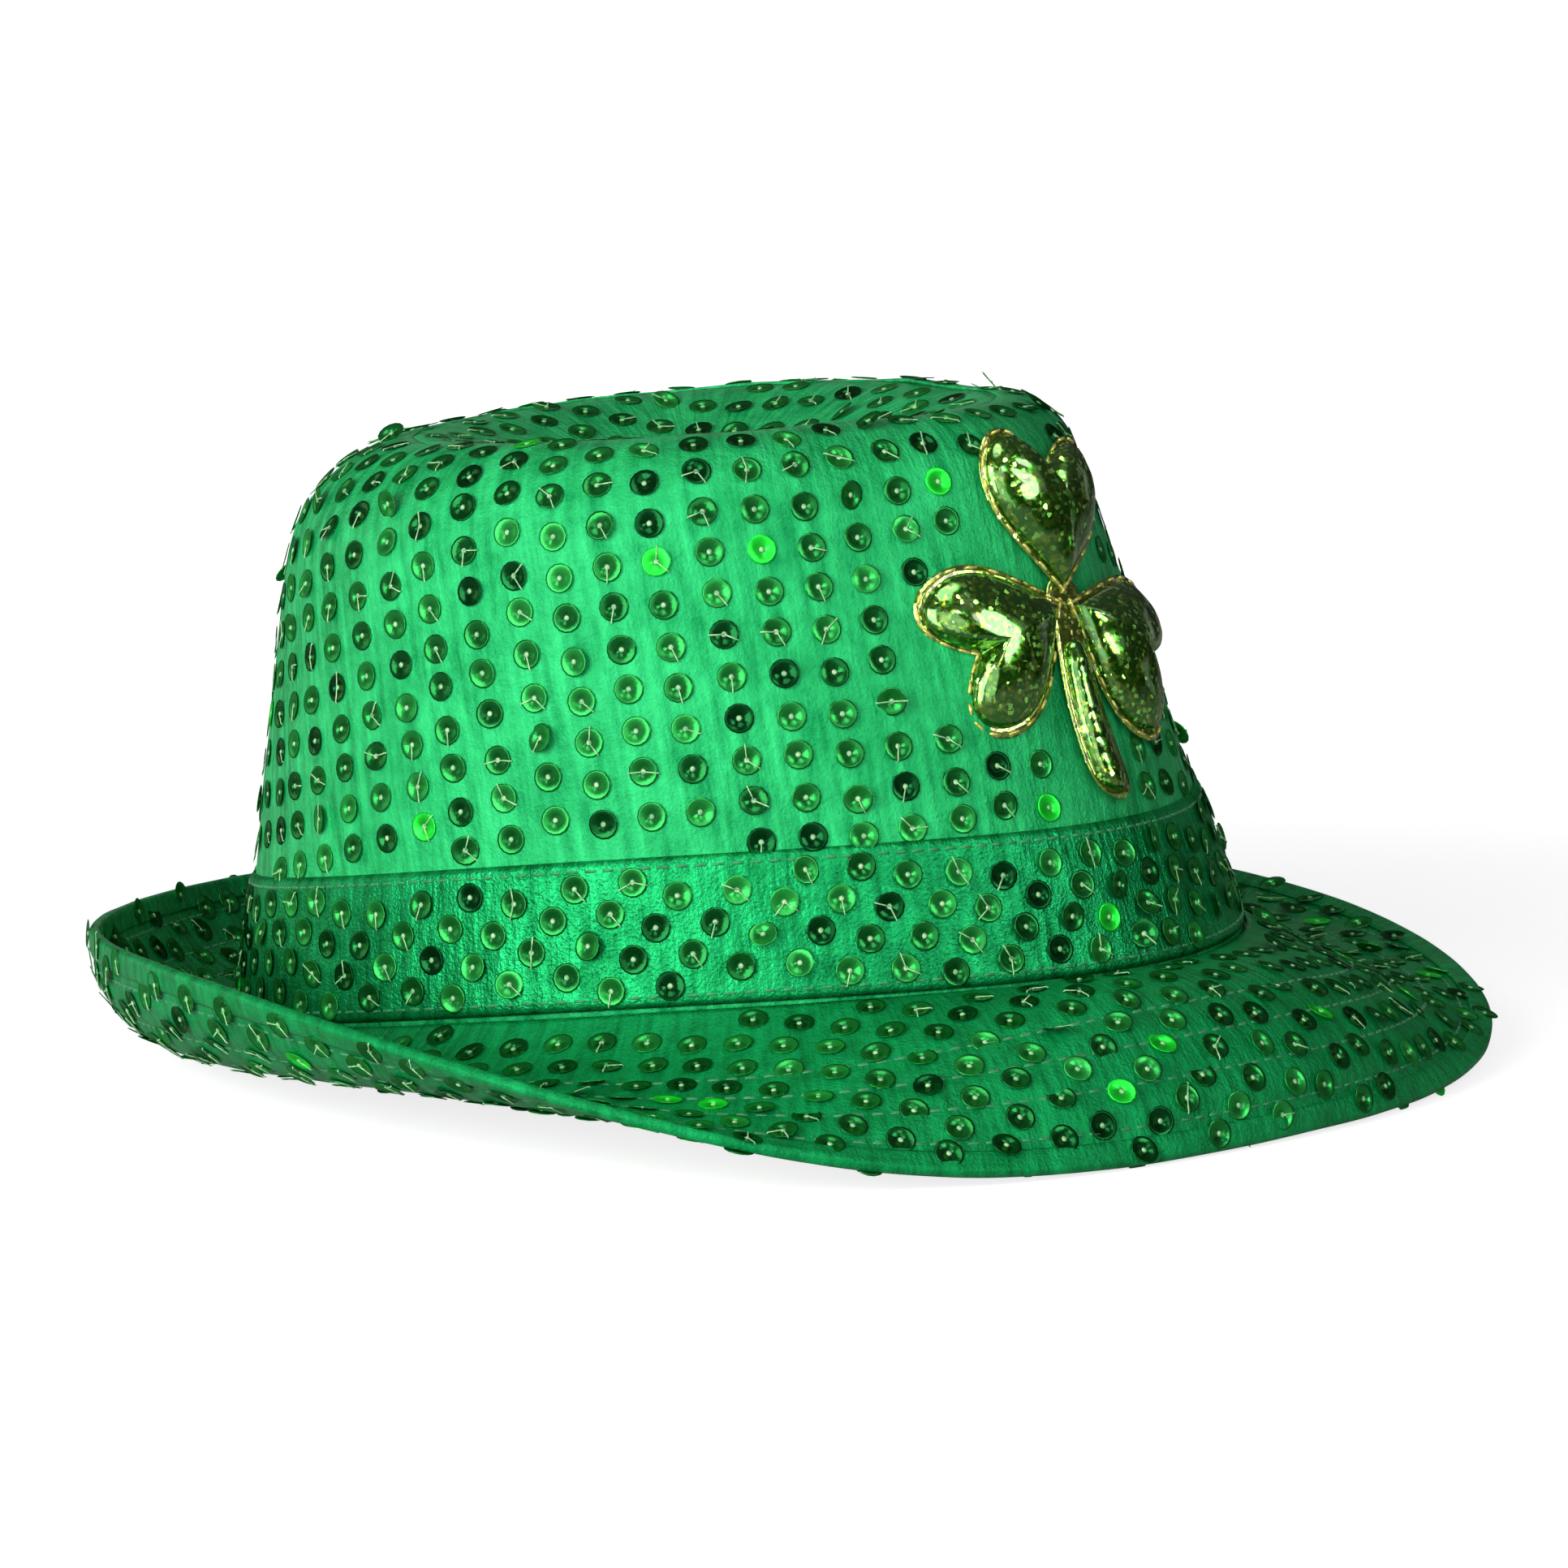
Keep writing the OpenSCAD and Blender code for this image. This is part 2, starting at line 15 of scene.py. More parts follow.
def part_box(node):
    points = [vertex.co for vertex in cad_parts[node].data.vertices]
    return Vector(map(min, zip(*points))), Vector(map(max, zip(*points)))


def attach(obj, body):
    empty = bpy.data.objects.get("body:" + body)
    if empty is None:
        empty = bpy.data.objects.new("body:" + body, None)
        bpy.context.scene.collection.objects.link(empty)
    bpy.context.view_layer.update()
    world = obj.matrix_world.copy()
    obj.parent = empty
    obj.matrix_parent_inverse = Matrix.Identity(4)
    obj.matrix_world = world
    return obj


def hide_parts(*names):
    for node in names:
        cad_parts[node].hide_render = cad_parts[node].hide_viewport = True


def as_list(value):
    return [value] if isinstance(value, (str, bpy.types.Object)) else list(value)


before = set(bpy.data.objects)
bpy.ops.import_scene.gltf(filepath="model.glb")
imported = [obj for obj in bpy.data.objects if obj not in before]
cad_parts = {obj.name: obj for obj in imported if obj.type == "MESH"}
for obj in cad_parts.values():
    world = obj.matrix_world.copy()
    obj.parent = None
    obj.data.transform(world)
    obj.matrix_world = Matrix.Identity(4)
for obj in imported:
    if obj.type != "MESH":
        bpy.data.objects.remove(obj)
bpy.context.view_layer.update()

LOG = logging.getLogger("fedora")
MM = 0.001
BODY = "root"
Place = Callable[[float, float], Vector]


# ---------------------------------------------------------------- the hat's form


def round_hat(t: float, front: float, side: float, back: float) -> float:
    """Blend a front, a side and a back value round the hat.

    Args:
        t: angle round the hat, 0 at the front.
        front: value at the front.
        side: value at both sides.
        back: value at the back.

    Returns:
        The value at t.
    """
    c = math.cos(t)
    return side * (1 - c * c) + front * (c * c + c) / 2 + back * (c * c - c) / 2


def smooth_step(low: float, high: float, x: float) -> float:
    """Return 0 below low and 1 above high, with a soft ramp between."""
    q = min(1.0, max(0.0, (x - low) / (high - low)))
    return q * q * (3 - 2 * q)


@dataclass(frozen=True)
class HatForm:
    """The hat's surfaces, as functions of the angle round its base oval. Lengths are in metres."""

    half_l: float
    half_w: float
    crown_h: float = 113 * MM
    front_drop: float = 3.5 * MM
    back_drop: float = -1 * MM
    side_rise: float = 7 * MM
    front_lean: float = 14
    side_lean: float = 9
    back_lean: float = 13.5
    front_round: float = 14 * MM
    side_round: float = 20 * MM
    back_round: float = 30 * MM
    dent_depth: float = 17 * MM
    dent_forward: float = 2 * MM
    pinch_depth: float = 5 * MM
    pinch_angle: float = 48
    pinch_spread: float = 15
    brim_front: float = 52 * MM
    brim_side: float = 52 * MM
    brim_back: float = 40 * MM
    start_front: float = -9
    start_side: float = -36
    start_back: float = -14
    edge_front: float = -57
    edge_side: float = 31
    edge_back: float = 88
    start_skew: float = 5
    edge_skew: float = -6
    edge_twist: float = 17
    front_curl: float = 40
    brim_gap: float = 0.2 * MM

    def normal(self, t: float) -> Vector:
        """Return the outward normal of the base oval at t."""
        return Vector((self.half_w * math.cos(t), self.half_l * math.sin(t), 0)).normalized()

    def plan(self, t: float, off: float) -> Vector:
        """Return the point of the base oval at t, moved straight out by off."""
        return Vector((self.half_l * math.cos(t), self.half_w * math.sin(t), 0)) + off * self.normal(t)

    def base_z(self, t: float) -> float:
        """Return the height of the base seam."""
        return self.side_rise * math.sin(t) ** 2

    def lean(self, t: float) -> float:
        """Return the wall's inward lean, in radians."""
        return math.radians(round_hat(t, self.front_lean, self.side_lean, self.back_lean))

    def shoulder(self, t: float) -> float:
        """Return the radius of the crown's shoulder."""
        return round_hat(t, self.front_round, self.side_round, self.back_round)

    def tip_edge_z(self, t: float) -> float:
        """Return the height of the seam between wall and tip."""
        return self.crown_h - round_hat(t, self.front_drop, 0, self.back_drop)

    def wall_top(self, t: float) -> float:
        """Return the height at which the wall meets its shoulder."""
        return self.tip_edge_z(t) - self.shoulder(t) * (1 - math.sin(self.lean(t)))

    def pinch(self, t: float, z: float) -> float:
        """Return how far the two front pinches press the wall in."""
        a = abs(math.degrees(math.atan2(math.sin(t), math.cos(t))))
        near = math.exp(-(((a - self.pinch_angle) / self.pinch_spread) ** 2))
        return self.pinch_depth * near * max(0.0, z / self.crown_h) ** 3

    def wall(self, t: float, v: float, off: float = 0) -> Vector:
        """Return a point of the crown wall.

        Args:
            t: angle round the hat.
            v: 0 at the base seam, 1 at the shoulder, 2 at the tip's seam.
            off: distance out of the cloth's outer face.

        Returns:
            The point.
        """
        lean, r = self.lean(t), self.shoulder(t)
        z0, z1 = self.base_z(t), self.wall_top(t)
        phi = lean if v <= 1 else lean + (math.pi / 2 - lean) * (v - 1)
        z = z0 + (z1 - z0) * v if v <= 1 else z1 + r * (math.sin(phi) - math.sin(lean))
        inset = (min(z, z1) - z0) * math.tan(lean)
        inset += r * (math.cos(lean) - math.cos(phi)) if v > 1 else 0
        p = self.plan(t, off * math.cos(phi) - inset - self.pinch(t, z))
        return Vector((p.x, p.y, z + off * math.sin(phi)))

    def wall_h(self, t: float, h: float, off: float = 0) -> Vector:
        """Return a point of the straight wall at height h above the base seam."""
        return self.wall(t, h / (self.wall_top(t) - self.base_z(t)), off)

    def tip(self, t: float, s: float, off: float = 0) -> Vector:
        """Return a point of the tip: s is 0 at the bottom of the dent and 1 at its seam."""
        edge = self.wall(t, 2) - 0.1 * MM * self.normal(t)
        low = self.crown_h - (self.front_drop + self.back_drop) / 4 - self.dent_depth
        fall = s * s * (3 - 2 * s)
        x = self.dent_forward + (edge.x - self.dent_forward) * s
        return Vector((x, edge.y * s, low + (edge.z - low) * fall + off))

    def brim_w(self, t: float) -> float:
        """Return the brim's width along the cloth."""
        return round_hat(t, self.brim_front, self.brim_side, self.brim_back)

    def slopes(self, t: float) -> tuple[float, float]:
        """Return the brim's slope at the crown and at its edge, in radians."""
        start = round_hat(t, self.start_front, self.start_side, self.start_back)
        edge = round_hat(t, self.edge_front, self.edge_side, self.edge_back)
        curl = self.front_curl * math.sin(2 * t) * max(0.0, math.cos(t))
        start += self.start_skew * math.sin(t) - curl
        edge += self.edge_skew * math.sin(t) + self.edge_twist * math.sin(2 * t) + curl
        return math.radians(start), math.radians(edge)

    def brim(self, t: float, w: float, off: float = 0, ahead: float = 0) -> Vector:
        """Return a point of the brim.

        Args:
            t: angle round the hat.
            w: 0 at the crown and 1 at the edge.
            off: distance above the brim's middle.
            ahead: distance further out along the slope.

        Returns:
            The point.
        """
        s0, s1 = self.slopes(t)
        span = s1 - s0 if abs(s1 - s0) > 0.01 else 0.01
        slope = s0 + span * w
        k = self.brim_w(t) / span
        out = k * (math.sin(slope) - math.sin(s0)) - off * math.sin(slope) + ahead * math.cos(slope)
        up = k * (math.cos(s0) - math.cos(slope)) + off * math.cos(slope) + ahead * math.sin(slope)
        p = self.plan(t, self.brim_gap + out)
        return Vector((p.x, p.y, self.base_z(t) + up))


@dataclass(frozen=True)
class Layers:
    """Thicknesses of the cloths, and the depths that follow from them."""

    fabric: float = 0.6 * MM
    crown_stiff: float = 1.2 * MM
    brim_stiff: float = 1 * MM
    lining: float = 0.4 * MM
    sweat: float = 0.8 * MM
    band: float = 0.8 * MM
    binding: float = 0.4 * MM
    gap: float = 0.1 * MM

    @property
    def stiff_at(self) -> float:
        """Outer face of the crown's stiffener."""
        return -self.fabric - self.gap

    @property
    def lining_at(self) -> float:
        """Outer face of the lining."""
        return self.stiff_at - self.crown_stiff - self.gap

    @property
    def sweat_at(self) -> float:
        """Outer face of the sweatband."""
        return self.lining_at - self.lining - self.gap

    @property
    def brim_half(self) -> float:
        """Half the brim's thickness."""
        return self.brim_stiff / 2 + self.gap + self.fabric


@dataclass
class FlatWall:
    """The crown's wall unrolled flat, with its straight grain along y at one angle of the hat."""

    form: HatForm
    grain_at: float = math.radians(-45)
    steps: int = 1440

    def __post_init__(self) -> None:
        """Unroll the base seam."""
        self.turns = np.linspace(-math.pi, math.pi, self.steps + 1)
        base = np.array([self.form.plan(float(t), 0)[:2] for t in self.turns])
        facing = np.unwrap([math.atan2(n.y, n.x) for n in map(self.form.normal, self.turns.tolist())])
        lean = np.array([self.form.lean(float(t)) for t in self.turns])
        swing = np.concatenate([[0], np.cumsum(np.diff(facing) * np.sin((lean[1:] + lean[:-1]) / 2))])
        self.swing = swing - np.interp(self.grain_at, self.turns, swing)
        run = np.linalg.norm(np.diff(base, axis=0), axis=1)
        middle = (self.swing[1:] + self.swing[:-1]) / 2
        path = np.stack([run * np.cos(middle), run * np.sin(middle)], axis=1)
        path = np.concatenate([[[0, 0]], np.cumsum(path, axis=0)])
        origin = [np.interp(self.grain_at, self.turns, path[:, i]) for i in (0, 1)]
        self.path = path - origin

    def length_up(self, t: float, v: float) -> float:
        """Return the length of cloth from level z = 0 up to v."""
        lean = self.form.lean(t)
        straight = (self.form.wall_top(t) - self.form.base_z(t)) / math.cos(lean)
        turn = self.form.shoulder(t) * (math.pi / 2 - lean)
        return self.form.base_z(t) + straight * min(v, 1) + turn * max(0, v - 1)

    def at(self, t: float, v: float) -> tuple[float, float]:
        """Return where a point of the wall lies on the flat cloth."""
        a = float(np.interp(t, self.turns, self.swing))
        x, y = (float(np.interp(t, self.turns, self.path[:, i])) for i in (0, 1))
        h = self.length_up(t, v)
        return x - h * math.sin(a), y + h * math.cos(a)

    def find(self, x: float, y: float) -> list[tuple[float, float]]:
        """Return the angle and v of each point of the wall that lies at x, y on the flat cloth."""
        dx, dy = x - self.path[:, 0], y - self.path[:, 1]
        past = dx * np.cos(self.swing) + dy * np.sin(self.swing)
        found = []
        for i in np.nonzero((past[:-1] >= 0) & (past[1:] < 0))[0]:
            share = past[i] / (past[i] - past[i + 1])
            t = float(self.turns[i] + (self.turns[i + 1] - self.turns[i]) * share)
            h = float(-dx[i] * math.sin(self.swing[i]) + dy[i] * math.cos(self.swing[i]))
            foot, shoulder, top = (self.length_up(t, v) for v in (0, 1, 2))
            if foot < h < top:
                found.append((t, (h - foot) / (shoulder - foot) if h < shoulder
                              else 1 + (h - shoulder) / (top - shoulder)))
        return found


def loop_length(place: Callable[[float], Vector], parts: int = 180) -> float:
    """Return the length of a closed line round the hat, for an angle in radians."""
    ring = [place(angle(i / parts)) for i in range(parts + 1)]
    return sum((b - a).length for a, b in zip(ring, ring[1:]))


def angle(u: float) -> float:
    """Return the angle round the hat for u from 0 to 1, with the join at the back."""
    return (2 * u - 1) * math.pi


def share_of(t: float) -> float:
    """Return u from 0 to 1 for an angle round the hat."""
    return min(0.999, (math.atan2(math.sin(t), math.cos(t)) / math.pi + 1) / 2)


def ripple(p: Vector, size: float, seed: float) -> float:
    """Return soft noise from -1 to 1 that changes over a length of size metres."""
    return noise.noise(p / size + Vector((seed, seed * 1.7, -seed)))


# ---------------------------------------------------------------- finishes


class Paint:
    """A material being built: makes nodes and joins them."""

    def __init__(self, name: str) -> None:
        """Start a material with one Principled BSDF."""
        self.material = bpy.data.materials.new(name)
        self.material.use_nodes = True
        self.tree = self.material.node_tree
        self.shader = next(n for n in self.tree.nodes if n.type == "BSDF_PRINCIPLED")

    def set(self, **sockets: object) -> None:
        """Set the shader's own sockets, written with _ for a space."""
        for name, value in sockets.items():
            self.shader.inputs[name.replace("_", " ")].default_value = value

    def node(self, kind: str, inputs: dict | None = None, **options: object) -> bpy.types.Node:
        """Add a node.

        Args:
            kind: the node's type.
            inputs: values or sockets for its inputs, by name or number.
            options: its other properties.

        Returns:
            The node.
        """
        return add_node(self.tree, kind, inputs, **options)

    def grain(self, scale: float, detail: float, **options: float) -> bpy.types.NodeSocket:
        """Add noise over the piece, and return its strength."""
        where = self.node("ShaderNodeTexCoord").outputs["Object"]
        inputs = {"Vector": where, "Scale": scale, "Detail": detail, **options}
        return self.node("ShaderNodeTexNoise", inputs).outputs["Fac"]

    def raised(self, height: bpy.types.NodeSocket, strength: float, distance: float,
               **inputs: bpy.types.NodeSocket) -> bpy.types.NodeSocket:
        """Add a bump from a height, and return its normal."""
        return self.node("ShaderNodeBump", {"Strength": strength, "Distance": distance,
                                            "Height": height, **inputs}).outputs[0]

    def feed(self, name: str, socket: bpy.types.NodeSocket) -> None:
        """Join a socket to one of the shader's inputs."""
        self.tree.links.new(socket, self.shader.inputs[name])


def add_node(tree: bpy.types.NodeTree, kind: str, inputs: dict | None = None,
             **options: object) -> bpy.types.Node:
    """Add a node to a tree, with its options and inputs.

    Args:
        tree: the node tree.
        kind: the node's type.
        inputs: values or sockets for its inputs, by name or number.
        options: its other properties.

    Returns:
        The node.
    """
    made = tree.nodes.new(kind)
    for name, value in options.items():
        setattr(made, name, value)
    for key, value in (inputs or {}).items():
        if isinstance(value, bpy.types.NodeSocket):
            tree.links.new(value, made.inputs[key])
        else:
            made.inputs[key].default_value = value
    return made


def maths(tree: bpy.types.NodeTree, operation: str, *values: object) -> bpy.types.NodeSocket:
    """Add a Math node and return its output."""
    node = add_node(tree, "ShaderNodeMath", dict(enumerate(values)), operation=operation)
    return node.outputs[0]


def mix_colour(tree: bpy.types.NodeTree, share: object, low: object, high: object) -> bpy.types.NodeSocket:
    """Add a colour Mix node and return its result."""
    node = tree.nodes.new("ShaderNodeMix")
    node.data_type = "RGBA"
    for socket, value in zip((node.inputs[0], node.inputs[6], node.inputs[7]), (share, low, high)):
        if isinstance(value, bpy.types.NodeSocket):
            tree.links.new(value, socket)
        else:
            socket.default_value = value
    return node.outputs[2]


def new_group(name: str, ins: dict[str, float], outs: Sequence[str]) -> bpy.types.NodeTree:
    """Start a shader node group.

    Args:
        name: its name.
        ins: number inputs and their usual values.
        outs: number outputs.

    Returns:
        The group's tree, with its input and output nodes.
    """
    tree = bpy.data.node_groups.new(name, "ShaderNodeTree")
    for label, value in ins.items():
        socket = tree.interface.new_socket(label, in_out="INPUT", socket_type="NodeSocketFloat")
        socket.default_value = value
    for label in outs:
        tree.interface.new_socket(label, in_out="OUTPUT", socket_type="NodeSocketFloat")
    tree.nodes.new("NodeGroupInput")
    tree.nodes.new("NodeGroupOutput")
    return tree


def group_ends(tree: bpy.types.NodeTree) -> tuple[bpy.types.Node, bpy.types.Node]:
    """Return a group's input and output nodes."""
    ends = {n.bl_idname: n for n in tree.nodes}
    return ends["NodeGroupInput"], ends["NodeGroupOutput"]


def knit_group() -> bpy.types.NodeTree:
    """Build the brushed knit: Shade mottles the colour and Height raises nap and pulled grain."""
    tree = new_group("brushed_knit", {"Nap": 1500.0, "Mottle": 330.0, "Cloud": 60.0, "Streaks": 0.5},
                     ["Shade", "Height"])
    start, end = group_ends(tree)
    where = add_node(tree, "ShaderNodeTexCoord").outputs["Object"]
    cut = add_node(tree, "ShaderNodeUVMap", uv_map="cut").outputs[0]
    along = add_node(tree, "ShaderNodeMapping", {"Vector": cut, "Scale": (420.0, 45.0, 1.0)})
    streak = add_node(tree, "ShaderNodeTexNoise", {"Vector": along.outputs[0], "Scale": 1.0, "Detail": 3.0})
    nap, mottle, cloud = (add_node(tree, "ShaderNodeTexNoise", {
        "Vector": where, "Scale": start.outputs[size], "Detail": detail, "Roughness": 0.6})
        for size, detail in (("Nap", 2.0), ("Mottle", 3.0), ("Cloud", 2.0)))
    pulled = maths(tree, "MULTIPLY", streak.outputs["Fac"], start.outputs["Streaks"])
    half = maths(tree, "MULTIPLY", mottle.outputs["Fac"], 0.5)
    soft = maths(tree, "MULTIPLY_ADD", cloud.outputs["Fac"], 0.5, half)
    rest = maths(tree, "SUBTRACT", 1.0, start.outputs["Streaks"])
    shade = maths(tree, "ADD", maths(tree, "MULTIPLY", soft, rest), pulled)
    height = maths(tree, "MULTIPLY_ADD", nap.outputs["Fac"], 0.25, shade)
    tree.links.new(shade, end.inputs["Shade"])
    tree.links.new(height, end.inputs["Height"])
    return tree


def fleck_group() -> bpy.types.NodeTree:
    """Build glitter: each fleck has its own Tone and Hue, and its Normal is tipped its own way."""
    tree = new_group("glitter_flecks", {"Size": 1300.0, "Tip": 0.5}, ["Tone", "Hue"])
    tree.interface.new_socket("Normal", in_out="OUTPUT", socket_type="NodeSocketVector")
    start, end = group_ends(tree)
    where = add_node(tree, "ShaderNodeTexCoord").outputs["Object"]
    cells = add_node(tree, "ShaderNodeTexVoronoi", {"Vector": where, "Scale": start.outputs["Size"]})
    split = add_node(tree, "ShaderNodeSeparateColor", {"Color": cells.outputs["Color"]})
    middle = add_node(tree, "ShaderNodeVectorMath", {0: cells.outputs["Color"], 1: (0.5, 0.5, 0.5)},
                      operation="SUBTRACT")
    loose = maths(tree, "MULTIPLY_ADD", maths(tree, "GREATER_THAN", split.outputs["Red"], 0.86), 5.0, 1.0)
    amount = maths(tree, "MULTIPLY", loose, start.outputs["Tip"])
    tipped = add_node(tree, "ShaderNodeVectorMath", {0: middle.outputs[0], "Scale": amount},
                      operation="SCALE")
    face = add_node(tree, "ShaderNodeNewGeometry").outputs["Normal"]
    both = add_node(tree, "ShaderNodeVectorMath", {0: tipped.outputs[0], 1: face}, operation="ADD")
    unit = add_node(tree, "ShaderNodeVectorMath", {0: both.outputs[0]}, operation="NORMALIZE")
    tree.links.new(split.outputs["Red"], end.inputs["Tone"])
    tree.links.new(split.outputs["Green"], end.inputs["Hue"])
    tree.links.new(unit.outputs[0], end.inputs["Normal"])
    return tree


Colour = tuple[float, float, float, float]


@dataclass(frozen=True)
class KnitFinish:
    """Satin-faced knit with a soft, mottled nap."""

    name: str
    deep: Colour
    bright: Colour
    streaks: float = 0.5
    gloss: float = 0.7
    rough: float = 0.42
    satin: float = 0.0
    group: bpy.types.NodeTree | None = None

    def build(self) -> bpy.types.Material:
        """Build the material."""
        paint = Paint(self.name)
        knit = paint.node("ShaderNodeGroup", node_tree=self.group)
        knit.inputs["Streaks"].default_value = self.streaks
        ramp = paint.node("ShaderNodeMapRange", {0: knit.outputs["Shade"], 1: 0.38, 2: 0.62})
        paint.feed("Base Color", mix_colour(paint.tree, ramp.outputs[0], self.deep, self.bright))
        paint.feed("Normal", paint.raised(knit.outputs["Height"], 0.9, 1.2 * MM))
        paint.set(Roughness=self.rough, Specular_IOR_Level=self.gloss, Specular_Tint=(0.1, 1.0, 0.4, 1.0),
                  Metallic=self.satin)
        return paint.material


@dataclass(frozen=True)
class SequinFinish:
    """Glossy green film, each sequin a little different; a few get a painted glint of bright green, as if
    they caught the light.
    """

    name: str
    dark: Colour
    light: Colour
    spark: Colour
    glint_from: float = 0.93

    def build(self) -> bpy.types.Material:
        """Build the material."""
        paint = Paint(self.name)
        tone = paint.node("ShaderNodeAttribute", attribute_name="tone").outputs["Fac"]
        film = mix_colour(paint.tree, tone, self.dark, self.light)
        # Painted glint: sequins with the highest tone take the bright spark colour, as if they caught the
        # light.
        glint_mask = maths(paint.tree, "GREATER_THAN", tone, self.glint_from)
        paint.feed("Base Color", mix_colour(paint.tree, glint_mask, film, self.spark))
        rough = paint.node("ShaderNodeMapRange", {0: tone, 3: 0.2, 4: 0.36})
        paint.feed("Roughness", rough.outputs[0])
        paint.set(Metallic=0.65, Specular_IOR_Level=0.5, Specular_Tint=(0.15, 1.0, 0.35, 1.0))
        return paint.material


@dataclass(frozen=True)
class ThreadFinish:
    """Twisted sewing thread."""

    name: str
    deep: Colour
    bright: Colour
    shine: float = 0.0

    def build(self) -> bpy.types.Material:
        """Build the material."""
        paint = Paint(self.name)
        ply = paint.grain(900.0, 2.0)
        ramp = paint.node("ShaderNodeMapRange", {0: ply, 1: 0.35, 2: 0.65})
        paint.feed("Base Color", mix_colour(paint.tree, ramp.outputs[0], self.deep, self.bright))
        paint.feed("Normal", paint.raised(ply, 0.5, 0.1 * MM))
        paint.set(Roughness=0.45, Metallic=self.shine, Sheen_Weight=0.2)
        return paint.material


@dataclass(frozen=True)
class FoilFinish:
    """Holographic foil: a crumpled mirror, strewn with flecks from bottle green to gold."""

    name: str
    dark: Colour
    gold: Colour
    light: Colour
    group: bpy.types.NodeTree | None = None
    tip: float = 0.11

    def build(self) -> bpy.types.Material:
        """Build the material."""
        paint = Paint(self.name)
        fleck = paint.node("ShaderNodeGroup", node_tree=self.group)
        fleck.inputs["Tip"].default_value = self.tip
        warm = paint.node("ShaderNodeMapRange", {0: fleck.outputs["Hue"], 1: 0.5, 2: 1.0})
        base = mix_colour(paint.tree, warm.outputs[0], self.dark, self.gold)
        spark = paint.node("ShaderNodeMapRange", {0: fleck.outputs["Tone"], 1: 0.86, 2: 0.92})
        paint.feed("Base Color", mix_colour(paint.tree, spark.outputs[0], base, self.light))
        crumple = paint.grain(130.0, 1.5)
        paint.feed("Normal", paint.raised(crumple, 0.3, 1.0 * MM, Normal=fleck.outputs["Normal"]))
        paint.feed("Coat Normal", paint.raised(crumple, 0.25, 1.0 * MM))
        paint.set(Metallic=0.9, Roughness=0.16, Coat_Weight=0.55, Coat_IOR=1.9, Coat_Roughness=0.07,
                  Coat_Tint=(0.92, 1.0, 0.55, 1.0))
        return paint.material


@dataclass(frozen=True)
class FeltFinish:
    """Matte bonded fibre, for stiffener, wadding and label."""

    name: str
    deep: Colour
    bright: Colour

    def build(self) -> bpy.types.Material:
        """Build the material."""
        paint = Paint(self.name)
        fibre = paint.grain(700.0, 5.0, Distortion=1.5)
        paint.feed("Base Color", mix_colour(paint.tree, fibre, self.deep, self.bright))
        paint.feed("Normal", paint.raised(fibre, 0.4, 0.3 * MM))
        paint.set(Roughness=0.9, Sheen_Weight=0.1)
        return paint.material


@dataclass(frozen=True)
class RibFinish:
    """Woven tape or lining, with ribs that follow the cut cloth."""

    name: str
    deep: Colour
    bright: Colour
    ribs: float = 1400.0
    rough: float = 0.55

    def build(self) -> bpy.types.Material:
        """Build the material."""
        paint = Paint(self.name)
        cut = paint.node("ShaderNodeUVMap", uv_map="cut").outputs[0]
        ribs = paint.node("ShaderNodeTexWave", {"Vector": cut, "Scale": self.ribs / 20, "Distortion": 0.6,
                                                "Detail": 1.0}, bands_direction="X")
        weft = paint.node("ShaderNodeTexWave", {"Vector": cut, "Scale": self.ribs / 20}, bands_direction="Y")
        low_weft = maths(paint.tree, "MULTIPLY", weft.outputs["Fac"], 0.5)
        both = maths(paint.tree, "ADD", ribs.outputs["Fac"], low_weft)
        share = paint.node("ShaderNodeMapRange", {0: both, 2: 1.5})
        paint.feed("Base Color", mix_colour(paint.tree, share.outputs[0], self.deep, self.bright))
        paint.feed("Normal", paint.raised(both, 0.5, 0.2 * MM))
        paint.set(Roughness=self.rough, Sheen_Weight=0.15)
        return paint.material


class Slot(Enum):
    """Material slots of the record."""

    CLOTH = "sequin_cloth"
    BAND = "band_cloth"
    STIFF = "interlining"
    LINING = "lining"
    SWEAT = "sweatband"
    THREAD = "thread"
    GOLD = "gold_thread"
    FOIL = "foil"
    FOIL_BACK = "foil_back"
    WAD = "wadding"
    LABEL = "label"


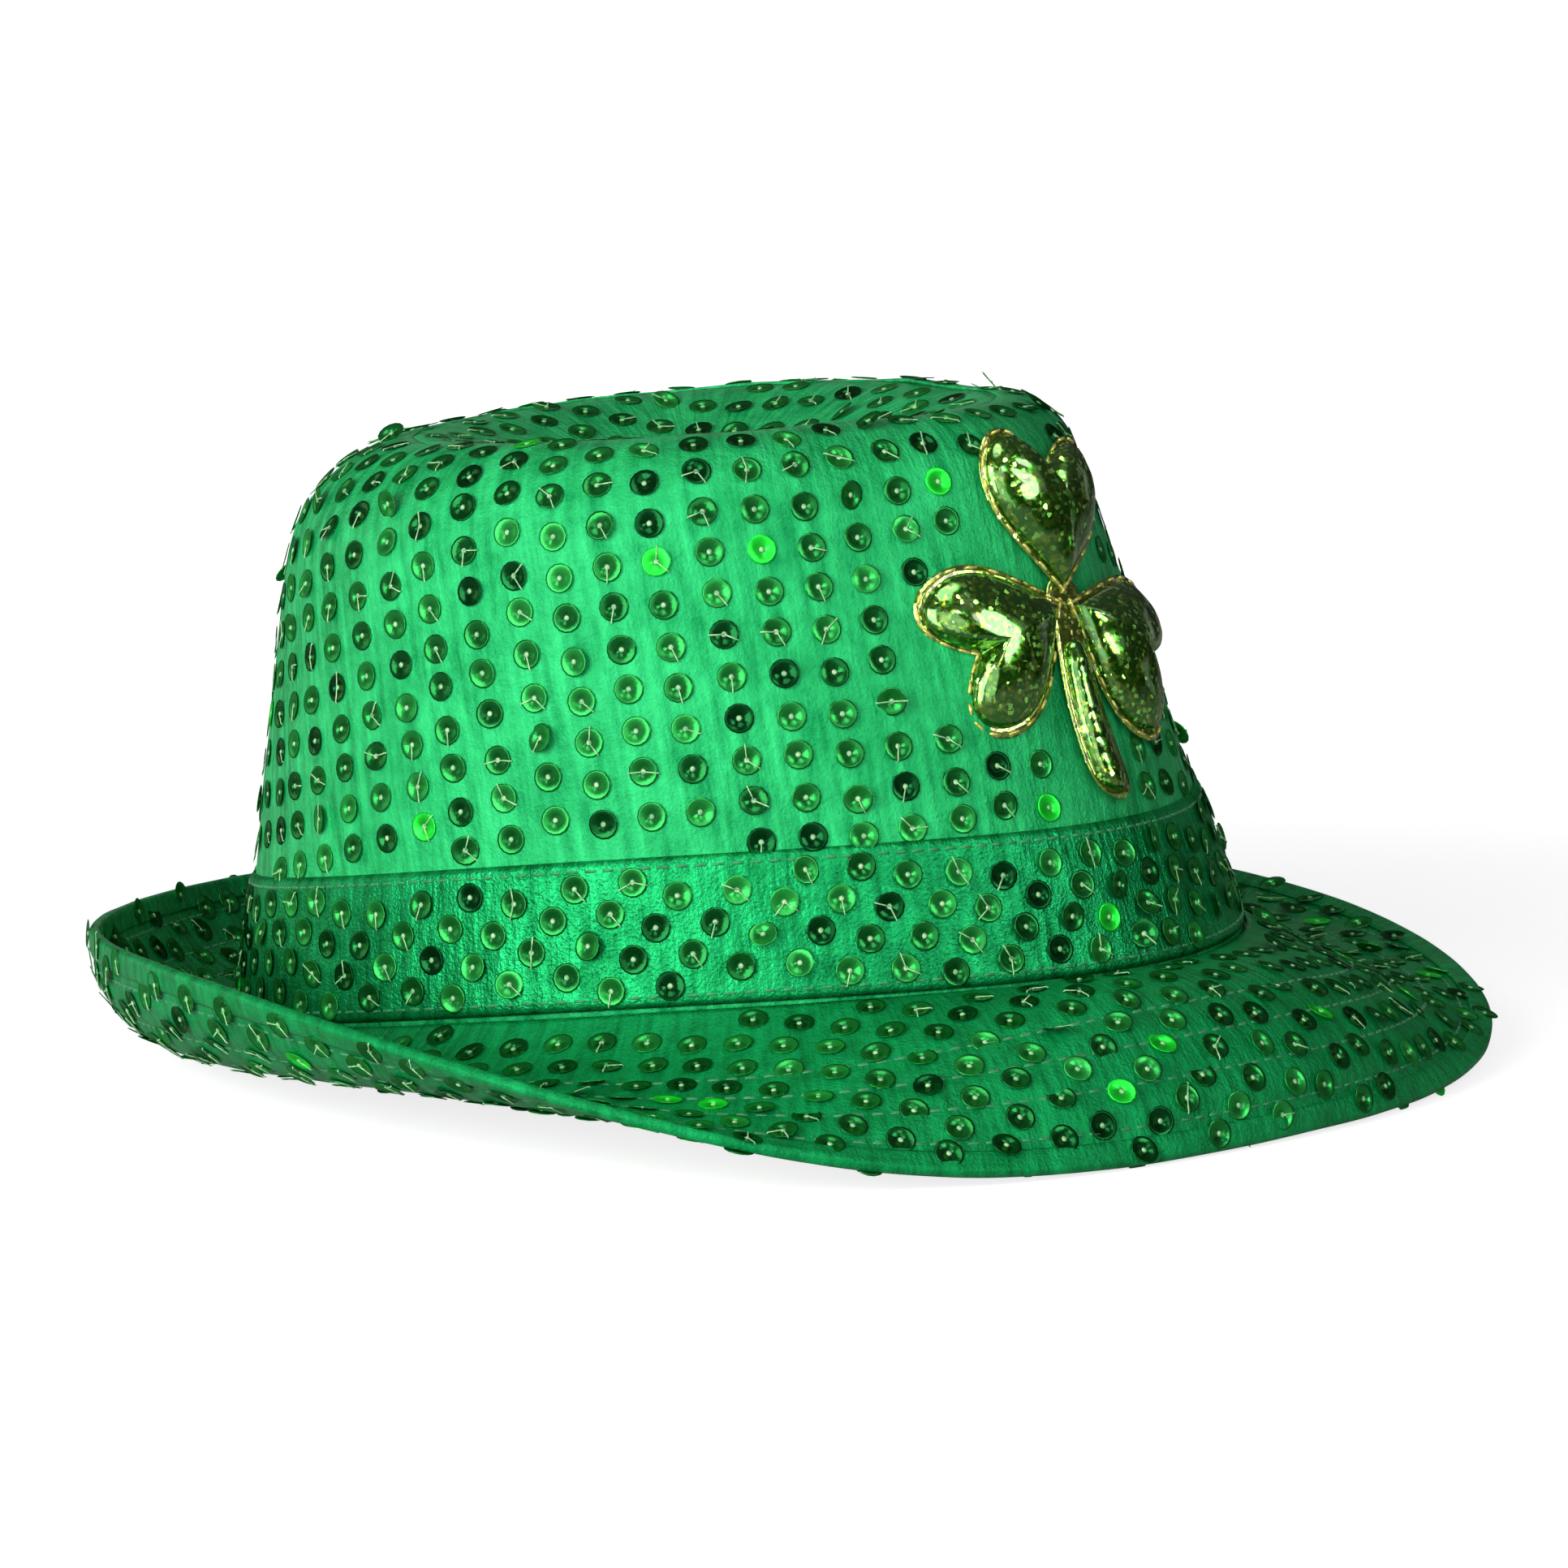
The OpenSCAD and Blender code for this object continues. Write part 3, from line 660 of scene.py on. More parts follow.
@dataclass
class Wardrobe:
    """Every finish of the hat, built once."""

    made: dict[str, bpy.types.Material] = field(default_factory=dict)

    def __post_init__(self) -> None:
        """Build the finishes."""
        knit, flecks = knit_group(), fleck_group()
        finishes = [
            KnitFinish("green_knit", (0.002, 0.23, 0.055, 1), (0.028, 0.56, 0.165, 1), group=knit),
            # Painted shade: the band is the crown's own sequin knit given darker base colours to stand for
            # the shade low on the crown; its metallic sheen and lower roughness are for the bias-cut satin.
            KnitFinish("shaded_bias_knit", (0.001, 0.13, 0.03, 1), (0.010, 0.38, 0.11, 1), rough=0.36, satin=0.6,
                       group=knit),
            # Painted shade: the brim's cloths and binding are the crown's own sequin knit with darker base
            # colours, standing for the dimmer light on faces that the key lamp only grazes.
            KnitFinish("shaded_brim_knit", (0.001, 0.13, 0.028, 1), (0.004, 0.30, 0.075, 1), gloss=0.5, group=knit),
            # The third colour is a painted glint, for the few sequins that catch the light.
            SequinFinish("green_sequin", (0.0015, 0.04, 0.008, 1), (0.03, 0.40, 0.07, 1),
                         (0.02, 0.85, 0.05, 1)),
            ThreadFinish("green_thread", (0.12, 0.42, 0.16, 1), (0.42, 0.74, 0.36, 1)),
            # Matching green thread, made darker than the crown's cloth as painted shade for the grooves the
            # stitches pull in.
            ThreadFinish("seam_thread", (0.006, 0.16, 0.05, 1), (0.02, 0.28, 0.09, 1)),
            ThreadFinish("gold_thread", (0.42, 0.36, 0.03, 1), (0.85, 0.80, 0.22, 1), shine=0.6),
            FoilFinish("green_foil", (0.025, 0.17, 0.006, 1), (0.22, 0.34, 0.02, 1), (0.4, 1.0, 0.2, 1),
                       group=flecks),
            FoilFinish("gold_foil", (0.20, 0.34, 0.04, 1), (0.50, 0.56, 0.10, 1), (0.95, 0.95, 0.4, 1),
                       group=flecks, tip=0.2),
            FeltFinish("white_stiffener", (0.55, 0.57, 0.53, 1), (0.82, 0.83, 0.80, 1)),
            FeltFinish("white_wadding", (0.70, 0.70, 0.68, 1), (0.88, 0.88, 0.86, 1)),
            RibFinish("green_lining", (0.006, 0.13, 0.045, 1), (0.02, 0.27, 0.10, 1), rough=0.4),
            RibFinish("green_tape", (0.004, 0.07, 0.03, 1), (0.012, 0.15, 0.065, 1), ribs=900.0),
            RibFinish("white_label", (0.62, 0.63, 0.60, 1), (0.86, 0.87, 0.84, 1), ribs=1800.0),
        ]
        for finish in finishes:
            self.made[finish.name] = finish.build()

    def __getitem__(self, name: str) -> bpy.types.Material:
        """Return a finish by name."""
        return self.made[name]


# ---------------------------------------------------------------- making pieces


def finish_piece(name: str, bm: bmesh.types.BMesh, material: bpy.types.Material, slot: Slot,
                 nodes: Iterable[str] = ()) -> bpy.types.Object:
    """Turn a mesh under construction into a piece that rides on the hat.

    Args:
        name: the piece's name.
        bm: its mesh, which is freed.
        material: its finish.
        slot: not used.
        nodes: the frame's nodes that it stands for.

    Returns:
        The piece.
    """
    mesh = bpy.data.meshes.new(name)
    for face in bm.faces:
        face.smooth = True
    bm.to_mesh(mesh)
    bm.free()
    mesh.materials.append(material)
    piece = bpy.data.objects.new(name, mesh)
    bpy.context.scene.collection.objects.link(piece)
    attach(piece, BODY)
    if nodes:
        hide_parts(*nodes)
    LOG.info("%s: %d faces", name, len(mesh.polygons))
    return piece


def lofted(columns: int, rows: int, place: Place, cut: tuple[float, float] | Callable = (1, 1),
           ) -> bmesh.types.BMesh:
    """Shape a grid into a sheet or a closed form.

    Args:
        columns: cells along u.
        rows: cells along v.
        place: gives the point for u and v from 0 to 1.
        cut: size of the flat cloth, which the map named cut is drawn to, or where u and v lie on it.

    Returns:
        The mesh, with points that meet merged.
    """
    bm = bmesh.new()
    bmesh.ops.create_grid(bm, x_segments=columns, y_segments=rows, size=0.5)
    layer = bm.loops.layers.uv.new("cut")
    for face in bm.faces:
        for corner in face.loops:
            u, v = corner.vert.co.x + 0.5, corner.vert.co.y + 0.5
            corner[layer].uv = cut(u, v) if callable(cut) else (u * cut[0], v * cut[1])
    for vert in bm.verts:
        vert.co = place(vert.co.x + 0.5, vert.co.y + 0.5)
    bmesh.ops.remove_doubles(bm, verts=bm.verts[:], dist=1e-6)
    bmesh.ops.dissolve_degenerate(bm, dist=1e-7, edges=bm.edges[:])
    return bm


def thicken(piece: bpy.types.Object, thickness: float) -> None:
    """Give a sheet its thickness, on the side away from its face."""
    wall = piece.modifiers.new("thickness", "SOLIDIFY")
    wall.thickness = thickness
    wall.offset = -1.0


@dataclass(frozen=True)
class Spot:
    """Where a sequin or a stitch goes: its middle, its way across, and the cloth's outward normal."""

    point: Vector
    along: Vector
    normal: Vector
    tone: float = 0.5

    def matrix(self) -> Matrix:
        """Return the matrix that puts a shape there."""
        side = self.normal.cross(self.along).normalized()
        turn = Matrix((self.along, side, self.normal)).transposed().to_4x4()
        return Matrix.Translation(self.point) @ turn


def spot_on(place: Place, a: float, b: float, tone: float = 0.5) -> Spot:
    """Return a spot on a surface, with its normal to the right of a and b."""
    step = 1e-3
    point = place(a, b)
    over = place(a + step, b) - point
    up = place(a, b + step) - point
    normal = over.cross(up).normalized()
    return Spot(point, over.normalized(), normal, tone)


def repeat(shape: bpy.types.Mesh, places: Sequence[tuple[Matrix, float]],
           bm: bmesh.types.BMesh | None = None) -> bmesh.types.BMesh:
    """Copy one shape to many places.

    Args:
        shape: the mesh to copy.
        places: a matrix and a tone for each copy.
        bm: a mesh to add them to.

    Returns:
        One mesh of them all, with the tone kept on its points.
    """
    bm = bm or bmesh.new()
    for matrix, tone in places:
        copy = shape.copy()
        copy.transform(matrix)
        layer = copy.attributes.new("tone", "FLOAT", "POINT")
        layer.data.foreach_set("value", [tone] * len(copy.vertices))
        bm.from_mesh(copy)
        bpy.data.meshes.remove(copy)
    return bm


def kept(bm: bmesh.types.BMesh, name: str) -> bpy.types.Mesh:
    """Keep a mesh under construction as a shape to be repeated."""
    bmesh.ops.recalc_face_normals(bm, faces=bm.faces[:])
    mesh = bpy.data.meshes.new(name)
    bm.to_mesh(mesh)
    bm.free()
    return mesh


@dataclass(frozen=True)
class Scatter:
    """How evenly the sequins of one cloth lie."""

    tilt: float = 4
    loose: float = 0.08
    strands: float = 0.5
    way: float = -60
    spread: float = 35


@dataclass
class SequinMaker:
    """Makes sequins and the stitches that hold them."""

    wardrobe: Wardrobe
    radius: float = 2.85 * MM
    hole: float = 0.62 * MM
    cup: float = 0.14 * MM
    film: float = 0.08 * MM
    facets: int = 14
    thread_r: float = 0.12 * MM
    lift: float = 0.16 * MM
    most_tilt: float = 40
    # Share of sequins given the painted glint colour.
    glint_share: float = 0.03

    def __post_init__(self) -> None:
        """Make the one disc, the one knot and the one strand that are repeated."""
        self.disc = self.cupped_disc()
        self.knot = self.knot_in_hole()
        self.strand = self.holding_strand()

    def cupped_disc(self) -> bpy.types.Mesh:
        """Spin a shallow cup's section into a disc with a hole."""
        flat = self.radius * 0.88
        section = [(self.hole, 0), (flat, 0.05 * MM), (self.radius, self.cup),
                   (flat, 0.05 * MM - self.film), (self.hole, -self.film)]
        bm = bmesh.new()
        points = [bm.verts.new((r, 0, z)) for r, z in section]
        edges = [bm.edges.new((points[i], points[(i + 1) % len(points)])) for i in range(len(points))]
        bmesh.ops.spin(bm, geom=points + edges, cent=(0, 0, 0), axis=(0, 0, 1), angle=2 * math.pi,
                       steps=self.facets, use_merge=True)
        bmesh.ops.remove_doubles(bm, verts=bm.verts[:], dist=1e-7)
        return kept(bm, "disc")

    def knot_in_hole(self) -> bpy.types.Mesh:
        """Make the flat bead of thread that shows in a sequin's hole."""
        bm = bmesh.new()
        bmesh.ops.create_cone(bm, cap_ends=True, segments=8, radius1=self.hole * 1.02,
                              radius2=self.hole * 0.5, depth=0.22 * MM)
        bmesh.ops.translate(bm, vec=(0, 0, 0.02 * MM), verts=bm.verts[:])
        return kept(bm, "knot")

    def holding_strand(self) -> bpy.types.Mesh:
        """Bend a short thread from the sequin's hole over its rim and down to the cloth."""
        reach = self.radius + 0.3 * MM
        bm = bmesh.new()
        bmesh.ops.create_cube(bm, size=1)
        bmesh.ops.scale(bm, vec=(reach, 2 * self.thread_r, 1.4 * self.thread_r), verts=bm.verts[:])
        bmesh.ops.translate(bm, vec=(reach / 2, 0, 0), verts=bm.verts[:])
        for share in (0.5, 0.88):
            geom = bm.verts[:] + bm.edges[:] + bm.faces[:]
            bmesh.ops.bisect_plane(bm, geom=geom, plane_co=(reach * share, 0, 0), plane_no=(1, 0, 0))
        for vert in bm.verts:
            q = vert.co.x / reach
            arch = self.cup * smooth_step(0.3, 0.9, q) * (1 - 1.6 * smooth_step(0.88, 1.0, q))
            vert.co.z += arch + self.thread_r * 0.9
        return kept(bm, "strand")

    def sew(self, name: str, spots: Sequence[Spot], seed: int, slot: Slot,
            scatter: Scatter = Scatter()) -> list[bpy.types.Object]:
        """Sew a sequin at every spot.

        Args:
            name: start of the pieces' names.
            spots: where the sequins go.
            seed: for the tilts and tones.
            slot: material slot of the cloth.
            scatter: how evenly they lie.

        Returns:
            The sequins and their stitches.
        """
        draw = random.Random(seed)
        discs, knots, strands = [], [], []
        for spot in spots:
            tilt = abs(draw.gauss(0, scatter.tilt if draw.random() > scatter.loose else 4 * scatter.tilt))
            tilt = math.radians(min(tilt, self.most_tilt))
            way = math.radians(draw.uniform(0, 360))
            lean = Matrix.Rotation(tilt, 4, Vector((math.cos(way), math.sin(way), 0)))
            rise = self.lift + self.radius * 0.7 * math.sin(tilt)
            place = spot.matrix() @ Matrix.Translation((0, 0, rise)) @ lean
            tone = min(0.9, max(0.0, spot.tone + draw.gauss(0, 0.2)))
            # A few sequins get the top tone, which paints them with the glint colour.
            discs.append((place, 1.0 if draw.random() < self.glint_share else tone))
            knots.append((place, draw.random()))
            if draw.random() < scatter.strands:
                down = scatter.way + draw.gauss(0, scatter.spread)
                fork = down + draw.choice((-1, 1)) * draw.uniform(70, 180)
                for turn in (down, fork)[:draw.choice((1, 2))]:
                    strands.append((place @ Matrix.Rotation(math.radians(turn), 4, "Z"), draw.random()))
        sequins = repeat(self.disc, discs)
        threads = repeat(self.strand, strands, repeat(self.knot, knots))
        return [finish_piece(f"{name}_sequins", sequins, self.wardrobe["green_sequin"], slot),
                finish_piece(f"{name}_sequin_stitches", threads, self.wardrobe["green_thread"], Slot.THREAD)]


@dataclass
class Stitcher:
    """Makes rows of short lockstitches."""

    wardrobe: Wardrobe
    pitch: float = 3.4 * MM
    fill: float = 0.72
    radius: float = 0.26 * MM

    def __post_init__(self) -> None:
        """Make the one stitch that is repeated: a short bar with rounded ends, half sunk."""
        bm = bmesh.new()
        bmesh.ops.create_cube(bm, size=1)
        long = self.pitch * self.fill
        bmesh.ops.scale(bm, vec=(long, 2 * self.radius, 1.4 * self.radius), verts=bm.verts[:])
        for share in (-0.36, 0.36):
            geom = bm.verts[:] + bm.edges[:] + bm.faces[:]
            bmesh.ops.bisect_plane(bm, geom=geom, plane_co=(long * share, 0, 0), plane_no=(1, 0, 0))
        for vert in bm.verts:
            if abs(vert.co.x) > long * 0.45:
                vert.co.y *= 0.5
                vert.co.z = vert.co.z * 0.4 - self.radius * 0.5
        self.bar = kept(bm, "bar")

    def row(self, path: Callable[[float], Spot], length: float) -> list[tuple[Matrix, float]]:
        """Return the places of the stitches in one row of a given length."""
        count = max(4, round(length / self.pitch))
        return [(path((i + 0.5) / count).matrix(), 0.5) for i in range(count)]

    def sew(self, name: str, places: Sequence[tuple[Matrix, float]], finish: str, slot: Slot,
            nodes: Sequence[str]) -> bpy.types.Object:
        """Make one piece of all the stitches at the places given."""
        return finish_piece(name, repeat(self.bar, places), self.wardrobe[finish], slot, nodes)


# ---------------------------------------------------------------- crown


@dataclass
class Crown:
    """Wall, tip and everything inside them."""

    form: HatForm
    layers: Layers
    wardrobe: Wardrobe
    sequins: SequinMaker
    stitcher: Stitcher
    covered: Callable[[Vector], bool]
    columns: int = 300
    column_pitch: float = 9.6 * MM
    row_pitch: float = 7.9 * MM
    seam_clear: float = 0.03
    band_top: float = 31.5 * MM
    sweat_h: float = 30 * MM
    label_w: float = 28 * MM
    label_h: float = 16 * MM
    wall_cloth: float = 125 * MM
    wall_taper: float = 0.82
    tip_cloth: tuple[float, float] = (124 * MM, 112 * MM)
    tip_depth: float = 60 * MM
    tape_w: float = 10 * MM
    tape_left: float = 0.32

    def __post_init__(self) -> None:
        """Unroll the wall."""
        self.flat = FlatWall(self.form)

    def wall_cut(self, u: float, q: float) -> tuple[float, float]:
        """Return where a point of the wall lies on the flat cloth."""
        return self.flat.at(angle(u), 2 * q)

    def drape(self, p: Vector, out: Vector, v: float) -> Vector:
        """Push the outer cloth out into soft, shallow folds; never in, so nothing inside shows."""
        folds = ripple(Vector((p.x, p.y, p.z * 0.45)), 26 * MM, 3.1) + 0.6 * ripple(p, 11 * MM, 8.2)
        amount = 0.55 * MM * (1 + folds) * smooth_step(0.2, 0.55, v)
        return p + out * amount

    def wall_face(self, u: float, q: float) -> Vector:
        """Return a point of the draped outer wall for u and q from 0 to 1."""
        t, v = angle(u), 2 * q
        p = self.form.wall(t, v)
        out = self.form.wall(t, v, MM) - p
        return self.drape(p, out / MM, v)

    def tip_face(self, u: float, q: float) -> Vector:
        """Return a point of the tip's outer face; q runs from the seam to the dent."""
        t, s = angle(u), 1 - q
        p = self.form.tip(t, s)
        pucker = 0.35 * MM * (1 + ripple(Vector((math.cos(t), math.sin(t), 0)), 0.09, 5.5))
        soft = 0.3 * MM * (1 + ripple(p, 18 * MM, 1.3)) * (1 - s)
        return p + Vector((0, 0, pucker * smooth_step(0.75, 1.0, s) + soft))

    def wall_spots(self) -> list[Spot]:
        """Lay the sequins' straight grid on the flat cloth, and find where each lies on the wall."""
        draw = random.Random(11)
        spots = []
        slip = 0.0
        reach, below, above = 42, 12, 40
        for i in range(-reach, reach + 1):
            slip += draw.gauss(0, 0.16) * self.row_pitch
            x = i * self.column_pitch + draw.gauss(0, 0.3) * MM
            for j in range(-below, above):
                y = j * self.row_pitch + slip + draw.gauss(0, 0.25) * MM
                for t, v in self.flat.find(x, y):
                    p = self.form.wall(t, v)
                    height = (p.z - self.form.base_z(t)) / math.cos(self.form.lean(t))
                    at_seam = v > 1.95 or math.pi - abs(t) < self.seam_clear
                    if height < self.band_top or at_seam or self.covered(p):
                        continue
                    patch = ripple(p, 17 * MM, 7.7) + 0.5 * ripple(p, 8 * MM, 2.9)
                    spots.append(spot_on(self.wall_face, share_of(t), v / 2, 0.34 + 0.6 * patch))
        return spots

    def tip_spots(self) -> list[Spot]:
        """Lay a straight grid of sequins over the tip."""
        draw = random.Random(12)
        spots = []
        reach = 10
        dent = self.form.dent_forward
        for i in range(-reach, reach + 1):
            start = draw.uniform(0, self.row_pitch)
            for j in range(-reach, reach + 1):
                x = j * self.row_pitch + start
                y = i * self.column_pitch + draw.gauss(0, 0.3) * MM
                t = math.atan2(y, x - dent)
                for _ in range(3):
                    edge = self.form.tip(t, 1)
                    t += math.atan2(y, x - dent) - math.atan2(edge.y, edge.x - dent)
                edge = self.form.tip(t, 1)
                s = math.hypot(x - dent, y) / math.hypot(edge.x - dent, edge.y)
                if 0.02 < s < 0.93:
                    spots.append(spot_on(self.tip_face, share_of(t), 1 - s, draw.uniform(0.2, 0.6)))
        return spots

    def build(self) -> None:
        """Make the crown's pieces."""
        form, layers = self.form, self.layers
        around = loop_length(lambda t: form.wall(t, 0))
        side = finish_piece("crown_side_cloth", lofted(self.columns, 72, self.wall_face, self.wall_cut),
                            self.wardrobe["green_knit"], Slot.CLOTH, ["crown_side"])
        thicken(side, layers.fabric)
        cap = lofted(self.columns, 26, self.tip_face, (around, self.tip_depth))
        tip = finish_piece("crown_tip_cloth", cap, self.wardrobe["green_knit"], Slot.CLOTH, ["crown_tip"])
        thicken(tip, layers.fabric)
        on_side = self.sequins.sew("crown", self.wall_spots(), 21, Slot.CLOTH)
        on_tip = self.sequins.sew("tip", self.tip_spots(), 22, Slot.CLOTH)
        self.tip_area
        self.build_inside(around)

    @property
    def tip_area(self) -> float:
        """Area of the tip's oval cloth."""
        return self.tip_cloth[0] * self.tip_cloth[1] * math.pi / 4

    def build_inside(self, around: float) -> None:
        """Make the stiffeners, the linings, the sweatband, the seam tape and the label."""
        form, layers = self.form, self.layers
        for name, node, depth, thick, finish, slot in (
                ("stiffening", "stiffener", layers.stiff_at, layers.crown_stiff, "white_stiffener",
                 Slot.STIFF),
                ("lining_cloth", "lining", layers.lining_at, layers.lining, "green_lining", Slot.LINING)):
            look = self.wardrobe[finish]
            wall = lofted(144, 36, lambda u, q, d=depth, k=thick: form.wall(angle(1 - u), 2 * q, d - k),
                          (around, self.wall_cloth))
            side = finish_piece(f"crown_side_{name}", wall, look, slot, [f"crown_side_{node}"])
            thicken(side, thick)
            cap = lofted(144, 16, lambda u, q, d=depth, k=thick: form.tip(angle(1 - u), 1 - q, d - k),
                         (around, self.tip_depth))
            tip = finish_piece(f"crown_tip_{name}", cap, look, slot, [f"crown_tip_{node}"])
            thicken(tip, thick)
            self.tip_area
        inside = layers.sweat_at - layers.sweat

        def band_face(u: float, q: float) -> Vector:
            """Return a point of the sweatband's inner face."""
            soft = 0.15 * MM * ripple(form.wall(angle(u), 0.2), 30 * MM, 2.2)
            return form.wall_h(angle(1 - u), layers.gap + q * (self.sweat_h - layers.gap), inside + soft)
        tape = finish_piece("sweatband_tape", lofted(192, 10, band_face, (around, self.sweat_h)),
                            self.wardrobe["green_tape"], Slot.SWEAT, ["sweatband"])
        thicken(tape, layers.sweat)

        def row_spot(u: float) -> Spot:
            """Return the place of a stitch near the sweatband's foot."""
            return spot_on(lambda a, h: form.wall_h(angle(1 - a), h * 0.1, inside - 0.25 * MM), u, 0.02)
        row = self.stitcher.sew("sweatband_stitches", self.stitcher.row(row_spot, around), "seam_thread",
                                Slot.THREAD, ["sweatband_stitching"])
        label = self.build_label(inside)
        self.build_seam_tape(inside, around)

    def build_label(self, inside: float) -> bpy.types.Object:
        """Make the blank label inside the back of the sweatband."""
        spread = self.label_w / self.form.half_w / 2
        foot = self.sweat_h - 2 * MM - self.label_h

        def face(u: float, q: float) -> Vector:
            """Return a point of the label's face."""
            return self.form.wall_h(math.pi + spread * (1 - 2 * u), foot + q * self.label_h,
                                    inside - self.layers.gap - self.layers.lining)
        label = finish_piece("blank_label", lofted(20, 10, face, (self.label_w, self.label_h)),
                             self.wardrobe["white_label"], Slot.LABEL, ["care_label"])
        thicken(label, self.layers.lining)
        return label

    def build_seam_tape(self, inside: float, around: float) -> None:
        """Make the tape under the crown wall's lower edge, a flat loop with four faces."""
        below = Vector((0, 0, -self.layers.gap))

        def face(u: float, q: float) -> Vector:
            """Return a point of the tape; q runs once round its section."""
            t = angle(u)
            inner = self.form.wall(t, 0, inside) + below
            outer = self.form.wall(t, 0, -self.layers.crown_stiff) + below
            foot = self.form.base_z(t) - self.layers.brim_half
            corners = [Vector((inner.x, inner.y, foot)), Vector((outer.x, outer.y, foot)), outer, inner]
            part = min(3, int(q * 4 + 1e-6))
            return corners[part].lerp(corners[(part + 1) % 4], q * 4 - part)
        tape = finish_piece("seam_tape_cloth", lofted(192, 4, face, (around, 6 * MM)),
                            self.wardrobe["green_tape"], Slot.LINING, ["seam_tape"])


# ---------------------------------------------------------------- hat band


@dataclass
class HatBand:
    """Folded band of sequin cloth round the crown's foot."""

    form: HatForm
    layers: Layers
    wardrobe: Wardrobe
    sequins: SequinMaker
    stitcher: Stitcher
    foot: float = 1.8 * MM
    height: float = 28 * MM
    lap: float = 26 * MM
    bias: float = math.radians(-38)
    across_pitch: float = 8.2 * MM
    along_pitch: float = 7.2 * MM

    @property
    def around(self) -> float:
        """Length of the band."""
        return 2 * math.pi * math.sqrt((self.form.half_l ** 2 + self.form.half_w ** 2) / 2)

    def depth(self, q: float) -> float:
        """Return how far the band's face stands off the crown: its folded edges are rounded."""
        edge = min(q, 1 - q) * self.height
        roll = math.sqrt(max(0.0, 1 - (1 - min(1.0, edge / (1.2 * MM))) ** 2))
        return self.layers.gap + self.layers.band * (0.25 + 0.75 * roll)

    def face(self, u: float, q: float) -> Vector:
        """Return a point of the band's outer face."""
        t = angle(u)
        h = self.foot + q * self.height
        p = self.form.wall_h(t, h)
        slack = 0.25 * MM * (1 + ripple(Vector((p.x, p.y, p.z * 2.5)), 24 * MM, 6.4))
        return self.form.wall_h(t, h, self.depth(q) + slack)

    def lap_face(self, u: float, q: float) -> Vector:
        """Return a point of the lapped end's outer face."""
        t = math.pi + (u - 0.5) * self.lap / self.form.half_w
        off = self.depth(q) + self.layers.gap + self.layers.band + 0.5 * MM
        return self.form.wall_h(t, self.foot + q * self.height, off)

    def lap_spots(self) -> list[Spot]:
        """Lay three rows of sequins over the lapped end."""
        draw = random.Random(33)
        return [spot_on(self.lap_face, min(0.9, max(0.1, 0.16 + 0.34 * i + draw.gauss(0, 0.03))),
                        0.2 + 0.3 * j + draw.gauss(0, 0.02), draw.uniform(0.2, 0.7))
                for i in range(3) for j in range(3)]

    def spots(self) -> list[Spot]:
        """Lay a bias grid of sequins over the band."""
        draw = random.Random(31)
        length = self.around
        c, s = math.cos(self.bias), math.sin(self.bias)
        spots = []
        reach = int(length / self.across_pitch) + 6
        for i in range(-reach // 2, reach // 2):
            start = draw.uniform(0, self.along_pitch)
            for j in range(-reach // 2, reach // 2):
                a, b = i * self.across_pitch, j * self.along_pitch + start
                x, y = a * c - b * s, a * s + b * c + self.height / 2
                q, u = y / self.height, x / length + 0.5
                if 0.1 < q < 0.9 and 0.002 < u < 0.998:
                    patch = ripple(self.face(u, q), 14 * MM, 4.9)
                    spots.append(spot_on(self.face, u, q, 0.4 + 0.6 * patch))
        return spots

    def build(self) -> None:
        """Make the band, its lapped end and its stitching."""
        around = self.around
        # The band and its lapped end wear the darker band knit: painted shade.
        band = finish_piece("hat_band_cloth", lofted(320, 24, self.face, (around, self.height)),
                            self.wardrobe["shaded_bias_knit"], Slot.BAND, ["hat_band"])
        thicken(band, self.layers.band * 0.6)
        lap = finish_piece("band_lap_cloth", lofted(20, 24, self.lap_face, (self.lap, self.height)),
                           self.wardrobe["shaded_bias_knit"], Slot.BAND, ["band_lap"])
        thicken(lap, self.layers.band * 0.6)
        edge = 2 * MM / self.height

        def row_at(q: float) -> Callable[[float], Spot]:
            """Return the path of the row of stitches at q."""
            def path(u: float) -> Spot:
                """Return a place on the band, or on its lapped end."""
                near_lap = abs(abs(u - 0.5) - 0.5) * around < self.lap / 2 + MM
                if near_lap:
                    over = ((u + 0.5) % 1.0 - 0.5) * around / self.lap + 0.5
                    return spot_on(self.lap_face, over, q)
                return spot_on(self.face, u, q)
            return path
        places = [p for q in (edge, 1 - edge) for p in self.stitcher.row(row_at(q), around)]
        rows = self.stitcher.sew("band_stitches", places, "seam_thread", Slot.THREAD, ["band_stitching"])
        bias = Scatter(tilt=6, loose=0.14, strands=0.45)
        sewn = self.sequins.sew("band", self.spots(), 32, Slot.BAND, bias)
        on_lap = self.sequins.sew("lap", self.lap_spots(), 34, Slot.BAND, Scatter(tilt=6, strands=0.45))


# ---------------------------------------------------------------- brim


